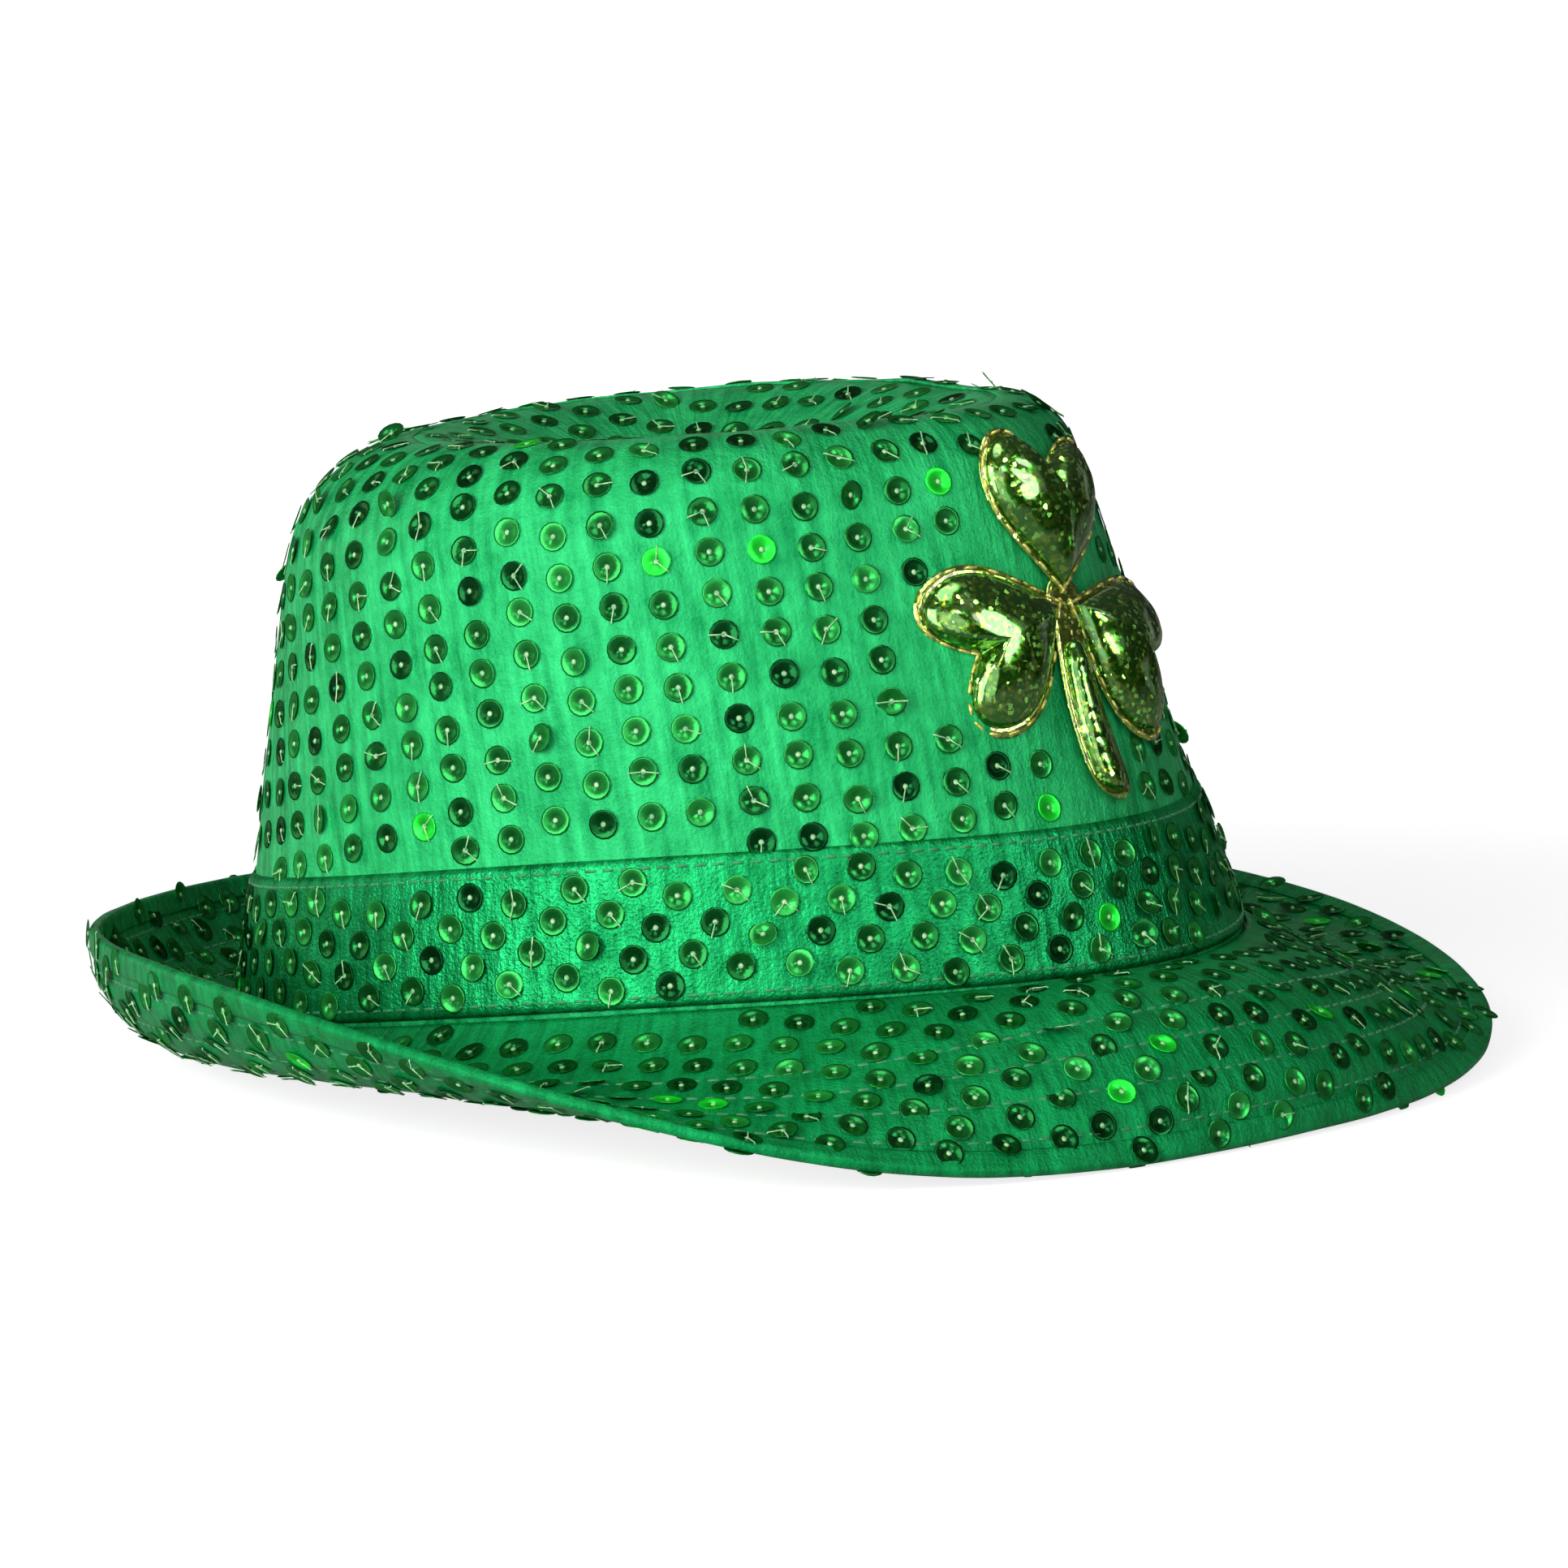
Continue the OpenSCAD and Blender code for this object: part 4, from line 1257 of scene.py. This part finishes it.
@dataclass
class Brim:
    """Two cloths over a stiffener, bound and topstitched."""

    form: HatForm
    layers: Layers
    wardrobe: Wardrobe
    sequins: SequinMaker
    stitcher: Stitcher
    columns: int = 360
    bound: float = 4 * MM
    margin: float = 2 * MM
    thinning: float = 0.6
    rows: int = 4
    row_pitch: float = 8 * MM
    grid_x: float = 9.0 * MM
    grid_y: float = 7.8 * MM
    cloth: tuple[float, float] = (297 * MM, 276 * MM)
    mean_w: float = 43 * MM
    cut_w: float = 56 * MM
    hem_cut: float = 18 * MM
    hem_flat: float = 14 * MM

    def quilt(self, t: float, w: float) -> float:
        """Return how deep the stitched rows pull the cloth in at t and w."""
        back = (1 - w) * self.form.brim_w(t)
        deep = 0.0
        for i in range(self.rows):
            d = abs(back - self.bound - self.margin - i * self.row_pitch)
            deep = max(deep, math.exp(-((d / (1.1 * MM)) ** 2)))
        return deep

    def thin(self, w: float) -> float:
        """Return the share of its thickness that the brim keeps at w: it is pressed flat at its edge."""
        return 1 - self.thinning * smooth_step(0.78, 0.97, w)

    def face(self, u: float, w: float, side: int) -> Vector:
        """Return a point of the cloth on the upper (1) or under (-1) side."""
        t = angle(u)
        p = self.form.brim(t, w)
        puff = 0.2 * MM * (1 + ripple(p, 15 * MM, 9.1 + side)) - 0.3 * MM * self.quilt(t, w)
        return self.form.brim(t, w, side * (self.layers.brim_half + puff) * self.thin(w))

    def core_face(self, u: float, q: float) -> Vector:
        """Return a point of the stiffener; q runs out along its top and back along its under side."""
        w = 1 - abs(2 * q - 1)
        half = self.layers.brim_stiff / 2 * (self.thin(w) - 0.3 * smooth_step(0.78, 0.97, w))
        side = 0 if min(q, abs(q - 0.5), 1 - q) < 1e-6 else 1 if q < 0.5 else -1
        return self.form.brim(angle(u), w, side * half)

    def top_face(self, u: float, q: float) -> Vector:
        """Return a point of the upper cloth; q runs from the edge to the crown."""
        return self.face(u, 1 - q, 1)

    def under_face(self, u: float, q: float) -> Vector:
        """Return a point of the under cloth; q runs from the crown to the edge."""
        return self.face(u, q, -1)

    def flat_spot(self, x: float, y: float) -> tuple[float, float]:
        """Find the angle and w of a point of the flat cloth."""
        t = math.atan2(y / self.form.half_w, x / self.form.half_l)
        p = Vector((x, y, 0))
        for _ in range(6):
            tangent = Vector((-self.form.half_l * math.sin(t), self.form.half_w * math.cos(t), 0))
            t += (p - self.form.plan(t, 0)).dot(tangent) / tangent.length_squared * 0.8
        off = (p - self.form.plan(t, 0)).dot(self.form.normal(t))
        return t, off / self.form.brim_w(t)

    def spots(self, side: int) -> list[Spot]:
        """Lay a straight grid of sequins over the flat cloth of one side."""
        draw = random.Random(41 + side)
        spots = []
        reach = 21
        hem = self.layers.gap + self.layers.binding
        for j in range(-reach, reach + 1):
            start = draw.uniform(0, self.grid_x)
            for i in range(-reach, reach + 1):
                t, w = self.flat_spot(i * self.grid_x + start, j * self.grid_y + draw.gauss(0, 0.35) * MM)
                width = self.form.brim_w(t)
                if 0.06 < w < 1 - 0.6 * MM / width:
                    u = min(share_of(t), 0.998)
                    tone = 0.35 + 0.5 * ripple(self.form.brim(t, w), 16 * MM, 3.3)
                    spot = (spot_on(self.top_face, u, 1 - w, tone) if side > 0
                            else spot_on(self.under_face, u, w, tone))
                    over = hem * smooth_step(self.bound + 2.5 * MM, self.bound, (1 - w) * width)
                    spots.append(replace(spot, point=spot.point + spot.normal * over))
        return spots

    def binding_face(self, u: float, q: float) -> Vector:
        """Return a point of the binding; q runs from its upper hem round the edge to its under hem."""
        t = angle(u)
        half = self.layers.brim_half * (1 - self.thinning) + self.layers.gap + self.layers.binding
        wide = self.bound / self.form.brim_w(t)
        wave = 0.12 * MM * ripple(self.form.brim(t, 1), 12 * MM, 4.4)
        flat = 0.42
        if q < flat or q > 1 - flat:
            side = 1 if q < flat else -1
            share = (q if q < flat else 1 - q) / flat
            w = 1 - wide * (1 - share)
            over = half + self.layers.brim_half * (self.thin(w) - 1 + self.thinning)
            hem = 0.3 * MM * (1 - smooth_step(0, 0.25, share))
            return self.form.brim(t, w, side * (over - hem + wave))
        a = math.pi * ((q - flat) / (1 - 2 * flat) - 0.5)
        return self.form.brim(t, 1, -half * math.sin(a), half * 0.6 * math.cos(a) + wave)

    def lowest(self) -> list[Vector]:
        """Return points all over the binding and the under cloth, for the floor to be laid under."""
        return [face(i / 360, q / 10) for face in (self.binding_face, self.under_face)
                for i in range(360) for q in range(11)]

    def build(self) -> None:
        """Make the brim's pieces."""
        form, layers = self.form, self.layers
        edge = loop_length(lambda t: form.brim(t, 1))
        # The brim's upper and under cloths and its binding wear the darker brim knit: painted shade.
        top = finish_piece("brim_top_cloth", lofted(self.columns, 44, self.top_face, (edge, self.cut_w)),
                           self.wardrobe["shaded_brim_knit"], Slot.CLOTH, ["brim_top_fabric"])
        thicken(top, layers.fabric)
        below = lofted(self.columns, 44, self.under_face, (edge, self.cut_w))
        under = finish_piece("brim_under_cloth", below, self.wardrobe["shaded_brim_knit"], Slot.CLOTH,
                             ["brim_under_fabric"])
        thicken(under, layers.fabric)
        core = finish_piece("brim_stiffening", lofted(180, 28, self.core_face, (edge, 2 * self.cut_w)),
                            self.wardrobe["white_stiffener"], Slot.STIFF, ["brim_stiffener"])
        hem = lofted(self.columns, 22, self.binding_face, (edge, self.hem_cut))
        binding = finish_piece("brim_binding_cloth", hem, self.wardrobe["shaded_brim_knit"], Slot.CLOTH,
                               ["brim_edge_binding"])
        thicken(binding, layers.binding * 0.7)
        places = []
        for i in range(self.rows):
            back = self.bound + self.margin + i * self.row_pitch
            for face in (self.top_face, self.under_face):
                def path(u: float, back: float = back, face: Place = face) -> Spot:
                    """Return a place on one cloth, back from the edge."""
                    share = back / form.brim_w(angle(u))
                    return spot_on(face, u, share if face == self.top_face else 1 - share)
                places += self.stitcher.row(path, edge - 2 * math.pi * back * 0.7)
        rows = self.stitcher.sew("brim_stitches", places, "seam_thread", Slot.THREAD, ["brim_topstitching"])
        on_top = self.sequins.sew("brim_top", self.spots(1), 42, Slot.CLOTH, Scatter(strands=0.2))
        neat = Scatter(tilt=2, loose=0.02, strands=0.9, spread=12)
        on_under = self.sequins.sew("brim_under", self.spots(-1), 43, Slot.CLOTH, neat)
        for sheet, under_it, sewn in ((top, core.name, [rows, *on_top]), (under, core.name, on_under),
                                      (core, "crown_side_cloth", [])):
            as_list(sewn)


# ---------------------------------------------------------------- shamrock


@dataclass
class Shamrock:
    """Three padded foil leaves and a stem on a flat foil back."""

    form: HatForm
    wardrobe: Wardrobe
    stitcher: Stitcher
    at: float = math.radians(-19)
    height: float = 72 * MM
    turn: float = math.radians(-11)
    leaf_w: float = 31 * MM
    leaf_l: float = 29 * MM
    puff: float = 5 * MM
    fall: float = 25
    leaf_start: float = 3 * MM
    stem_l: float = 38 * MM
    stem_w: float = 6 * MM
    stem_bow: float = 6 * MM
    stem_drop: float = 5 * MM
    rim_w: float = 1.8 * MM
    foil: float = 0.35 * MM
    bend_r: float = 73.2 * MM
    tack_l: float = 1.6 * MM
    heart_l: float = 28.9
    heart_foot: float = 17
    leaf_round: float = 94 * MM

    def __post_init__(self) -> None:
        """Find the shamrock's own axes on the crown."""
        n, lean = self.form.normal(self.at), self.form.lean(self.at)
        self.out = Vector((n.x * math.cos(lean), n.y * math.cos(lean), math.sin(lean)))
        self.across = Vector((-n.y, n.x, 0))
        self.up = self.out.cross(self.across)
        self.origin = self.form.wall_h(self.at, self.height, self.tack_l)

    def covers(self, p: Vector) -> bool:
        """Say whether a point of the crown lies under the shamrock."""
        d = p - self.origin
        if d.dot(self.out) < -14 * MM:
            return False
        c, s = math.cos(self.turn), math.sin(self.turn)
        across, up = d.dot(self.across), d.dot(self.up)
        x, y = across * c + up * s, up * c - across * s
        middle = self.leaf_start + 0.6 * self.leaf_l
        for way in self.ways:
            a = math.radians(way)
            if math.hypot(x - middle * math.cos(a), y - middle * math.sin(a)) < self.leaf_w * 0.56:
                return True
        on_stem = abs(x - self.stem_bow / 3) < 7 * MM and -self.stem_l - 4 * MM < y < 0
        return math.hypot(x, y) < 10 * MM or on_stem

    @property
    def ways(self) -> tuple[float, float, float]:
        """Directions of the three leaves, in degrees."""
        return 90, 180 + self.fall, -self.fall

    def place(self, x: float, y: float, z: float) -> Vector:
        """Return the point at x across, y up and z out, bent round the crown."""
        c, s = math.cos(self.turn), math.sin(self.turn)
        px, py = x * c - y * s, x * s + y * c
        arc = px / self.bend_r
        ring = self.bend_r + z
        return (self.origin + self.across * ring * math.sin(arc) + self.up * py
                + self.out * (ring * math.cos(arc) - self.bend_r))

    def leaf(self, way: float, u: float, s: float, z: float, grow: float = 0) -> Vector:
        """Return a point of a leaf.

        Args:
            way: direction of the leaf, in degrees.
            u: angle round its heart-shaped outline, from its notch.
            s: 0 in its middle and 1 on its outline.
            z: distance out.
            grow: how much larger the outline is.

        Returns:
            The point.
        """
        x = -math.sin(u) * abs(math.sin(u)) * (self.leaf_w / 2 + grow) * s
        heart = 13 * math.cos(u) - 5 * math.cos(2 * u) - 2 * math.cos(3 * u) - math.cos(4 * u)
        y = heart * (self.leaf_l + 2 * grow) / self.heart_l * s
        y += self.leaf_start + self.heart_foot * self.leaf_l / self.heart_l
        a = math.radians(way - 90)
        return self.place(x * math.cos(a) - y * math.sin(a), x * math.sin(a) + y * math.cos(a), z)

    def pillow(self, u: float, s: float, seed: float) -> float:
        """Return the height of the padding, with puckers drawn in from the weld."""
        dome = self.puff * max(0.0, 1 - s * s) ** 0.55
        around = Vector((math.cos(u), math.sin(u), s * 0.5)) * 14 * MM
        puckers = 0.5 * MM * ripple(around, 3.2 * MM, seed) * smooth_step(0.35, 0.8, s) * (1 - s ** 6)
        buckles = 0.35 * MM * ripple(around * s, 6 * MM, seed + 4) * (1 - s)
        notch = 1.6 * MM * math.exp(-((math.sin(u / 2) * 2 / 0.4) ** 2))
        notch *= smooth_step(0.05, 0.6, s) * (1 - s ** 4)
        return max(0.05 * MM, dome + puckers + buckles - notch)

    def build_leaf(self, name: str, way: float, seed: float) -> None:
        """Make one padded leaf and the wadding in it."""
        low = self.foil * 1.15
        flat = 0.25

        def skin(u: float, q: float) -> Vector:
            """Return a point of the foil: its flat back first, then its padded face."""
            turn = u * 2 * math.pi
            if q < flat:
                return self.leaf(way, turn, q / flat, low)
            s = math.sin((1 - q) / (1 - flat) * math.pi / 2)
            return self.leaf(way, turn, s, low + self.pillow(turn, s, seed))
        leaf = finish_piece(f"{name}_foil", lofted(96, 48, skin, (0.1, 0.03)), self.wardrobe["green_foil"],
                            Slot.FOIL, [f"shamrock_{name}"])

        def wad(u: float, q: float) -> Vector:
            """Return a point of the wadding."""
            turn = u * 2 * math.pi
            s = q * 2 if q < 0.5 else (1 - q) * 2
            rise = 0.6 * MM if q < 0.5 else 0.6 * MM + 0.5 * self.puff * (1 - s * s)
            return self.leaf(way, turn, 0.82 * s, low + rise)
        side = name.removeprefix("leaf_")
        wadding = finish_piece(f"{name}_wadding", lofted(48, 16, wad), self.wardrobe["white_wadding"],
                               Slot.WAD, [f"padding_{side}"])

    def stem_at(self, q: float, c: float, z: float) -> Vector:
        """Return a point of the stem: q runs from the shamrock's middle to the stem's end."""
        top = self.leaf_start + self.stem_drop
        y = -top - (self.stem_l - top) * q
        return self.place(self.stem_bow * q * q + c, y, z)

    def build_stem(self) -> None:
        """Make the padded stem, wider at its foot."""
        low = self.foil * 1.15

        def skin(u: float, q: float) -> Vector:
            """Return a point of the stem's foil."""
            ends = math.sqrt(max(0.0, 1 - abs(2 * q - 1) ** 10))
            half = self.stem_w / 2 * (0.8 + 0.45 * q) * ends
            a = u * 2 * math.pi
            wrinkle = 1 + 0.12 * ripple(Vector((q * 30, a, 0)), 1.6, 2.7)
            rise = max(0.0, math.sin(a)) * self.stem_w * 0.42 * ends * wrinkle
            return self.stem_at(q, half * math.cos(a), low + rise)
        stem = finish_piece("stem_foil", lofted(28, 48, skin, (0.015, self.stem_l)),
                            self.wardrobe["green_foil"], Slot.FOIL, ["shamrock_stem"])

    def build_back(self) -> None:
        """Make the flat back, with the rim that shows all round, and its stitching."""
        bm = bmesh.new()
        on = self.foil * 1.1
        boss = 4.8 * MM

        def plate_face(way: float, u: float, q: float) -> Vector:
            """Return a point of the plate behind a leaf, with an edge cut by hand."""
            turn = u * 2 * math.pi
            waver = 0.08 * ripple(Vector((math.cos(turn), math.sin(turn), way)), 0.3, 1.1)
            return self.leaf(way, turn, 1 - q, on - 0.05 * MM, self.rim_w * (1 + waver))

        def strip(u: float, q: float) -> Vector:
            """Return a point of the strip behind the stem."""
            first = -self.stem_drop / (self.stem_l - self.leaf_start - self.stem_drop)
            along = first + (1 + self.rim_w / self.stem_l - first) * q
            half = (self.stem_w / 2) * (0.8 + 0.45 * max(0, along)) + self.rim_w
            return self.stem_at(along, half * (2 * u - 1) * math.sqrt(max(0.02, 1 - q ** 14)), on)

        def middle_face(u: float, q: float) -> Vector:
            """Return a point of the round plate in the middle."""
            r, turn = (1 - q) * boss, u * 2 * math.pi
            return self.place(-r * math.sin(turn), r * math.cos(turn), on)
        plates = [lofted(72, 12, lambda u, q, w=way: plate_face(w, u, q)) for way in self.ways]
        plates += [lofted(8, 24, strip), lofted(32, 4, middle_face)]
        for plate in plates:
            mesh = bpy.data.meshes.new("plate")
            plate.to_mesh(mesh)
            plate.free()
            bm.from_mesh(mesh)
            bpy.data.meshes.remove(mesh)
        back = finish_piece("shamrock_back_foil", bm, self.wardrobe["gold_foil"], Slot.FOIL_BACK,
                            ["shamrock_backing"])
        thicken(back, self.foil)
        places = []
        middle = self.rim_w * 0.6
        above = on + 0.2 * MM
        for way in self.ways:
            def path(u: float, way: float = way) -> Spot:
                """Return a place on the rim of one leaf."""
                return spot_on(lambda a, b: self.leaf(way, a * 2 * math.pi, 1, above, middle - b), u, 0)
            places += self.stitcher.row(path, self.leaf_round)
        self.stitcher.sew("shamrock_rim_stitches", places, "gold_thread", Slot.GOLD,
                          ["shamrock_outline_stitching"])

    def build(self) -> None:
        """Make the shamrock."""
        for i, (name, way) in enumerate(zip(("leaf_top", "leaf_left", "leaf_right"), self.ways)):
            self.build_leaf(name, way, 1.0 + 3.3 * i)
        self.build_stem()
        self.build_back()
        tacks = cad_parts["shamrock_tack_stitches"]
        dress(tacks, self.wardrobe["green_thread"])


def dress(piece: bpy.types.Object, material: bpy.types.Material) -> None:
    """Give a node that is shown as it is a finish of its own."""
    for held in piece.material_slots:
        held.material = material
    if not piece.material_slots:
        piece.data.materials.append(material)


# ---------------------------------------------------------------- studio


@dataclass(frozen=True)
class Lamp:
    """A square lamp that faces the crown; azimuth 0 is on the hat's right and 90 before it."""

    name: str
    azimuth: float
    elevation: float
    size: float
    power: float
    distance: float = 1.7


@dataclass(frozen=True)
class Window:
    """A bright round patch of the room that only gloss mirrors; half is half its width in degrees."""

    azimuth: float
    elevation: float
    half: float
    strength: float


@dataclass
class Studio:
    """Camera, floor and lights."""

    azimuth: float = 20
    elevation: float = 9
    roll: float = 6.3
    distance: float = 1.4
    lens: float = 160.4
    aim_right: float = 13.2 * MM
    aim_up: float = 36.8 * MM
    floor_size: float = 60.0
    floor_glow: float = 0.78
    room_light: float = 0.09
    sequin_room: float = 0.8 * MM
    windows: tuple[Window, ...] = (Window(78, 20, 11, 9), Window(30, 72, 16, 5), Window(-100, 12, 18, 1.2))
    lamps: tuple[Lamp, ...] = (Lamp("key", -20, 18, 1.2, 36), Lamp("fill", 25, 14, 1.0, 7),
                               Lamp("spark", 45, 32, 0.3, 2.8))

    @staticmethod
    def direction(azimuth: float, elevation: float) -> Vector:
        """Return the way to a place round the hat; azimuth 0 is on the hat's right and 90 before it."""
        a, e = math.radians(azimuth), math.radians(elevation)
        return Vector((math.sin(a) * math.cos(e), -math.cos(a) * math.cos(e), math.sin(e)))

    def build_camera(self) -> None:
        """Place the camera, rolled as the hat is seen."""
        a = math.radians(self.azimuth)
        back = self.direction(self.azimuth, self.elevation)
        right = Vector((math.cos(a), math.sin(a), 0))
        up = back.cross(right)
        target = right * self.aim_right + up * self.aim_up
        place = back * self.distance
        data = bpy.data.cameras.new("camera")
        data.lens = self.lens
        data.sensor_width = 36
        data.clip_end = 200
        camera = bpy.data.objects.new("camera", data)
        bpy.context.scene.collection.objects.link(camera)
        look = (target - place).to_track_quat("-Z", "Y")
        camera.rotation_mode = "QUATERNION"
        camera.rotation_quaternion = look @ Matrix.Rotation(math.radians(-self.roll), 3, "Z").to_quaternion()
        camera.location = place
        bpy.context.scene.camera = camera

    def resting_plane(self, points: Sequence[Vector]) -> tuple[float, float]:
        """Find the pitch, in radians, and the height of the floor that the brim's front and back rest on."""
        low, high = math.radians(-15), math.radians(15)
        drop = 0.0
        for _ in range(40):
            pitch = (low + high) / 2
            up = Vector((math.sin(pitch), 0, math.cos(pitch)))
            front = min(p.dot(up) for p in points if p.x > 0)
            rear = min(p.dot(up) for p in points if p.x < 0)
            drop = min(front, rear)
            if front < rear:
                low = pitch
            else:
                high = pitch
        return (low + high) / 2, drop - self.sequin_room

    def build_floor(self, points: Sequence[Vector]) -> None:
        """Lay a wide pale floor under the hat."""
        pitch, drop = self.resting_plane(points)
        bm = bmesh.new()
        bmesh.ops.create_grid(bm, x_segments=1, y_segments=1, size=self.floor_size / 2)
        matrix = Matrix.Rotation(pitch, 4, "Y") @ Matrix.Translation((0, 0, drop))
        bmesh.ops.transform(bm, matrix=matrix, verts=bm.verts[:])
        mesh = bpy.data.meshes.new("floor")
        bm.to_mesh(mesh)
        bm.free()
        floor = bpy.data.objects.new("floor", mesh)
        bpy.context.scene.collection.objects.link(floor)
        paint = Paint("pale_floor")
        seen = paint.node("ShaderNodeLightPath").outputs["Is Camera Ray"]
        where = paint.node("ShaderNodeTexCoord").outputs["Object"]
        away = paint.node("ShaderNodeVectorMath", {0: where}, operation="LENGTH").outputs["Value"]
        glow = paint.node("ShaderNodeMapRange", {0: away, 1: 0.2, 2: 0.6, 3: self.floor_glow, 4: 1.0})
        paint.feed("Emission Strength", maths(paint.tree, "MULTIPLY", seen, glow.outputs[0]))
        paint.set(Base_Color=(0.6, 0.6, 0.6, 1), Roughness=0.9, Specular_IOR_Level=0.1,
                  Emission_Color=(1, 1, 1, 1))
        behind = paint.node("ShaderNodeNewGeometry").outputs["Backfacing"]
        clear = paint.node("ShaderNodeBsdfTransparent")
        seen_through = paint.node("ShaderNodeMixShader", {0: behind, 1: paint.shader.outputs[0],
                                                          2: clear.outputs[0]})
        out = next(n for n in paint.tree.nodes if n.type == "OUTPUT_MATERIAL")
        paint.tree.links.new(seen_through.outputs[0], out.inputs["Surface"])
        mesh.materials.append(paint.material)
        LOG.info("floor: pitch %.2f degrees, %.1f mm down", math.degrees(pitch), drop / MM)

    def build_lamp(self, spec: Lamp) -> None:
        """Hang a lamp."""
        place = spec.distance * self.direction(spec.azimuth, spec.elevation)
        data = bpy.data.lights.new(spec.name, "AREA")
        data.shape = "SQUARE"
        data.size = spec.size
        data.energy = spec.power
        lamp = bpy.data.objects.new(spec.name, data)
        bpy.context.scene.collection.objects.link(lamp)
        lamp.location = place
        lamp.rotation_mode = "QUATERNION"
        lamp.rotation_quaternion = (Vector((0, 0, 0.05)) - place).to_track_quat("-Z", "Y")

    def build_sky(self) -> None:
        """Fill the room with soft light: white behind, and dim where gloss would mirror it."""
        world = bpy.data.worlds.new("studio")
        bpy.context.scene.world = world
        world.use_nodes = True
        tree = world.node_tree
        tree.nodes.clear()
        path = add_node(tree, "ShaderNodeLightPath")
        where = add_node(tree, "ShaderNodeTexCoord").outputs["Generated"]
        height = add_node(tree, "ShaderNodeSeparateXYZ", {0: where}).outputs["Z"]
        rise = add_node(tree, "ShaderNodeMapRange", {0: height, 1: 0.0, 2: 1.0, 3: 0.02, 4: 0.15})
        blobs = add_node(tree, "ShaderNodeTexNoise", {"Vector": where, "Scale": 2.6, "Detail": 1.0})
        panels = add_node(tree, "ShaderNodeMapRange", {0: blobs.outputs["Fac"], 1: 0.60, 2: 0.64,
                                                       3: 0.0, 4: 0.5})
        gloss = maths(tree, "ADD", rise.outputs[0], panels.outputs[0])
        for pane in self.windows:
            toward = self.direction(pane.azimuth, pane.elevation)
            facing = add_node(tree, "ShaderNodeVectorMath", {0: where, 1: toward}, operation="DOT_PRODUCT")
            edge, inside = (math.cos(math.radians(a)) for a in (pane.half + 2, pane.half))
            window = add_node(tree, "ShaderNodeMapRange", {0: facing.outputs["Value"], 1: edge, 2: inside,
                                                           3: 0.0, 4: pane.strength})
            gloss = maths(tree, "ADD", gloss, window.outputs[0])
        soft = add_node(tree, "ShaderNodeBackground", {"Color": (1, 1, 1, 1), "Strength": self.room_light})
        mirror = add_node(tree, "ShaderNodeBackground", {"Color": (1, 1, 1, 1), "Strength": gloss})
        white = add_node(tree, "ShaderNodeBackground", {"Color": (1, 1, 1, 1), "Strength": 1.0})
        first = add_node(tree, "ShaderNodeMixShader", {0: path.outputs["Is Glossy Ray"], 1: soft.outputs[0],
                                                       2: mirror.outputs[0]})
        last = add_node(tree, "ShaderNodeMixShader", {0: path.outputs["Is Camera Ray"], 1: first.outputs[0],
                                                      2: white.outputs[0]})
        add_node(tree, "ShaderNodeOutputWorld", {0: last.outputs[0]})

    def build(self, points: Sequence[Vector]) -> None:
        """Set up the studio."""
        self.build_camera()
        self.build_floor(points)
        self.build_sky()
        for lamp in self.lamps:
            self.build_lamp(lamp)
        bpy.context.scene.view_settings.view_transform = "Standard"


# ---------------------------------------------------------------- the whole hat


def main() -> None:
    """Build the hat and the studio round it."""
    logging.basicConfig(level=logging.INFO, format="%(name)s: %(message)s")
    low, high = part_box("crown_side")
    form = HatForm(half_l=(high[0] - low[0]) / 2, half_w=(high[1] - low[1]) / 2)
    layers, wardrobe = Layers(), Wardrobe()
    sequins, stitcher = SequinMaker(wardrobe), Stitcher(wardrobe)
    brim = Brim(form, layers, wardrobe, sequins, stitcher)
    Studio().build(brim.lowest())
    shamrock = Shamrock(form, wardrobe, stitcher)
    Crown(form, layers, wardrobe, sequins, stitcher, shamrock.covers).build()
    HatBand(form, layers, wardrobe, sequins, stitcher).build()
    brim.build()
    shamrock.build()


if __name__ == "__main__":
    main()
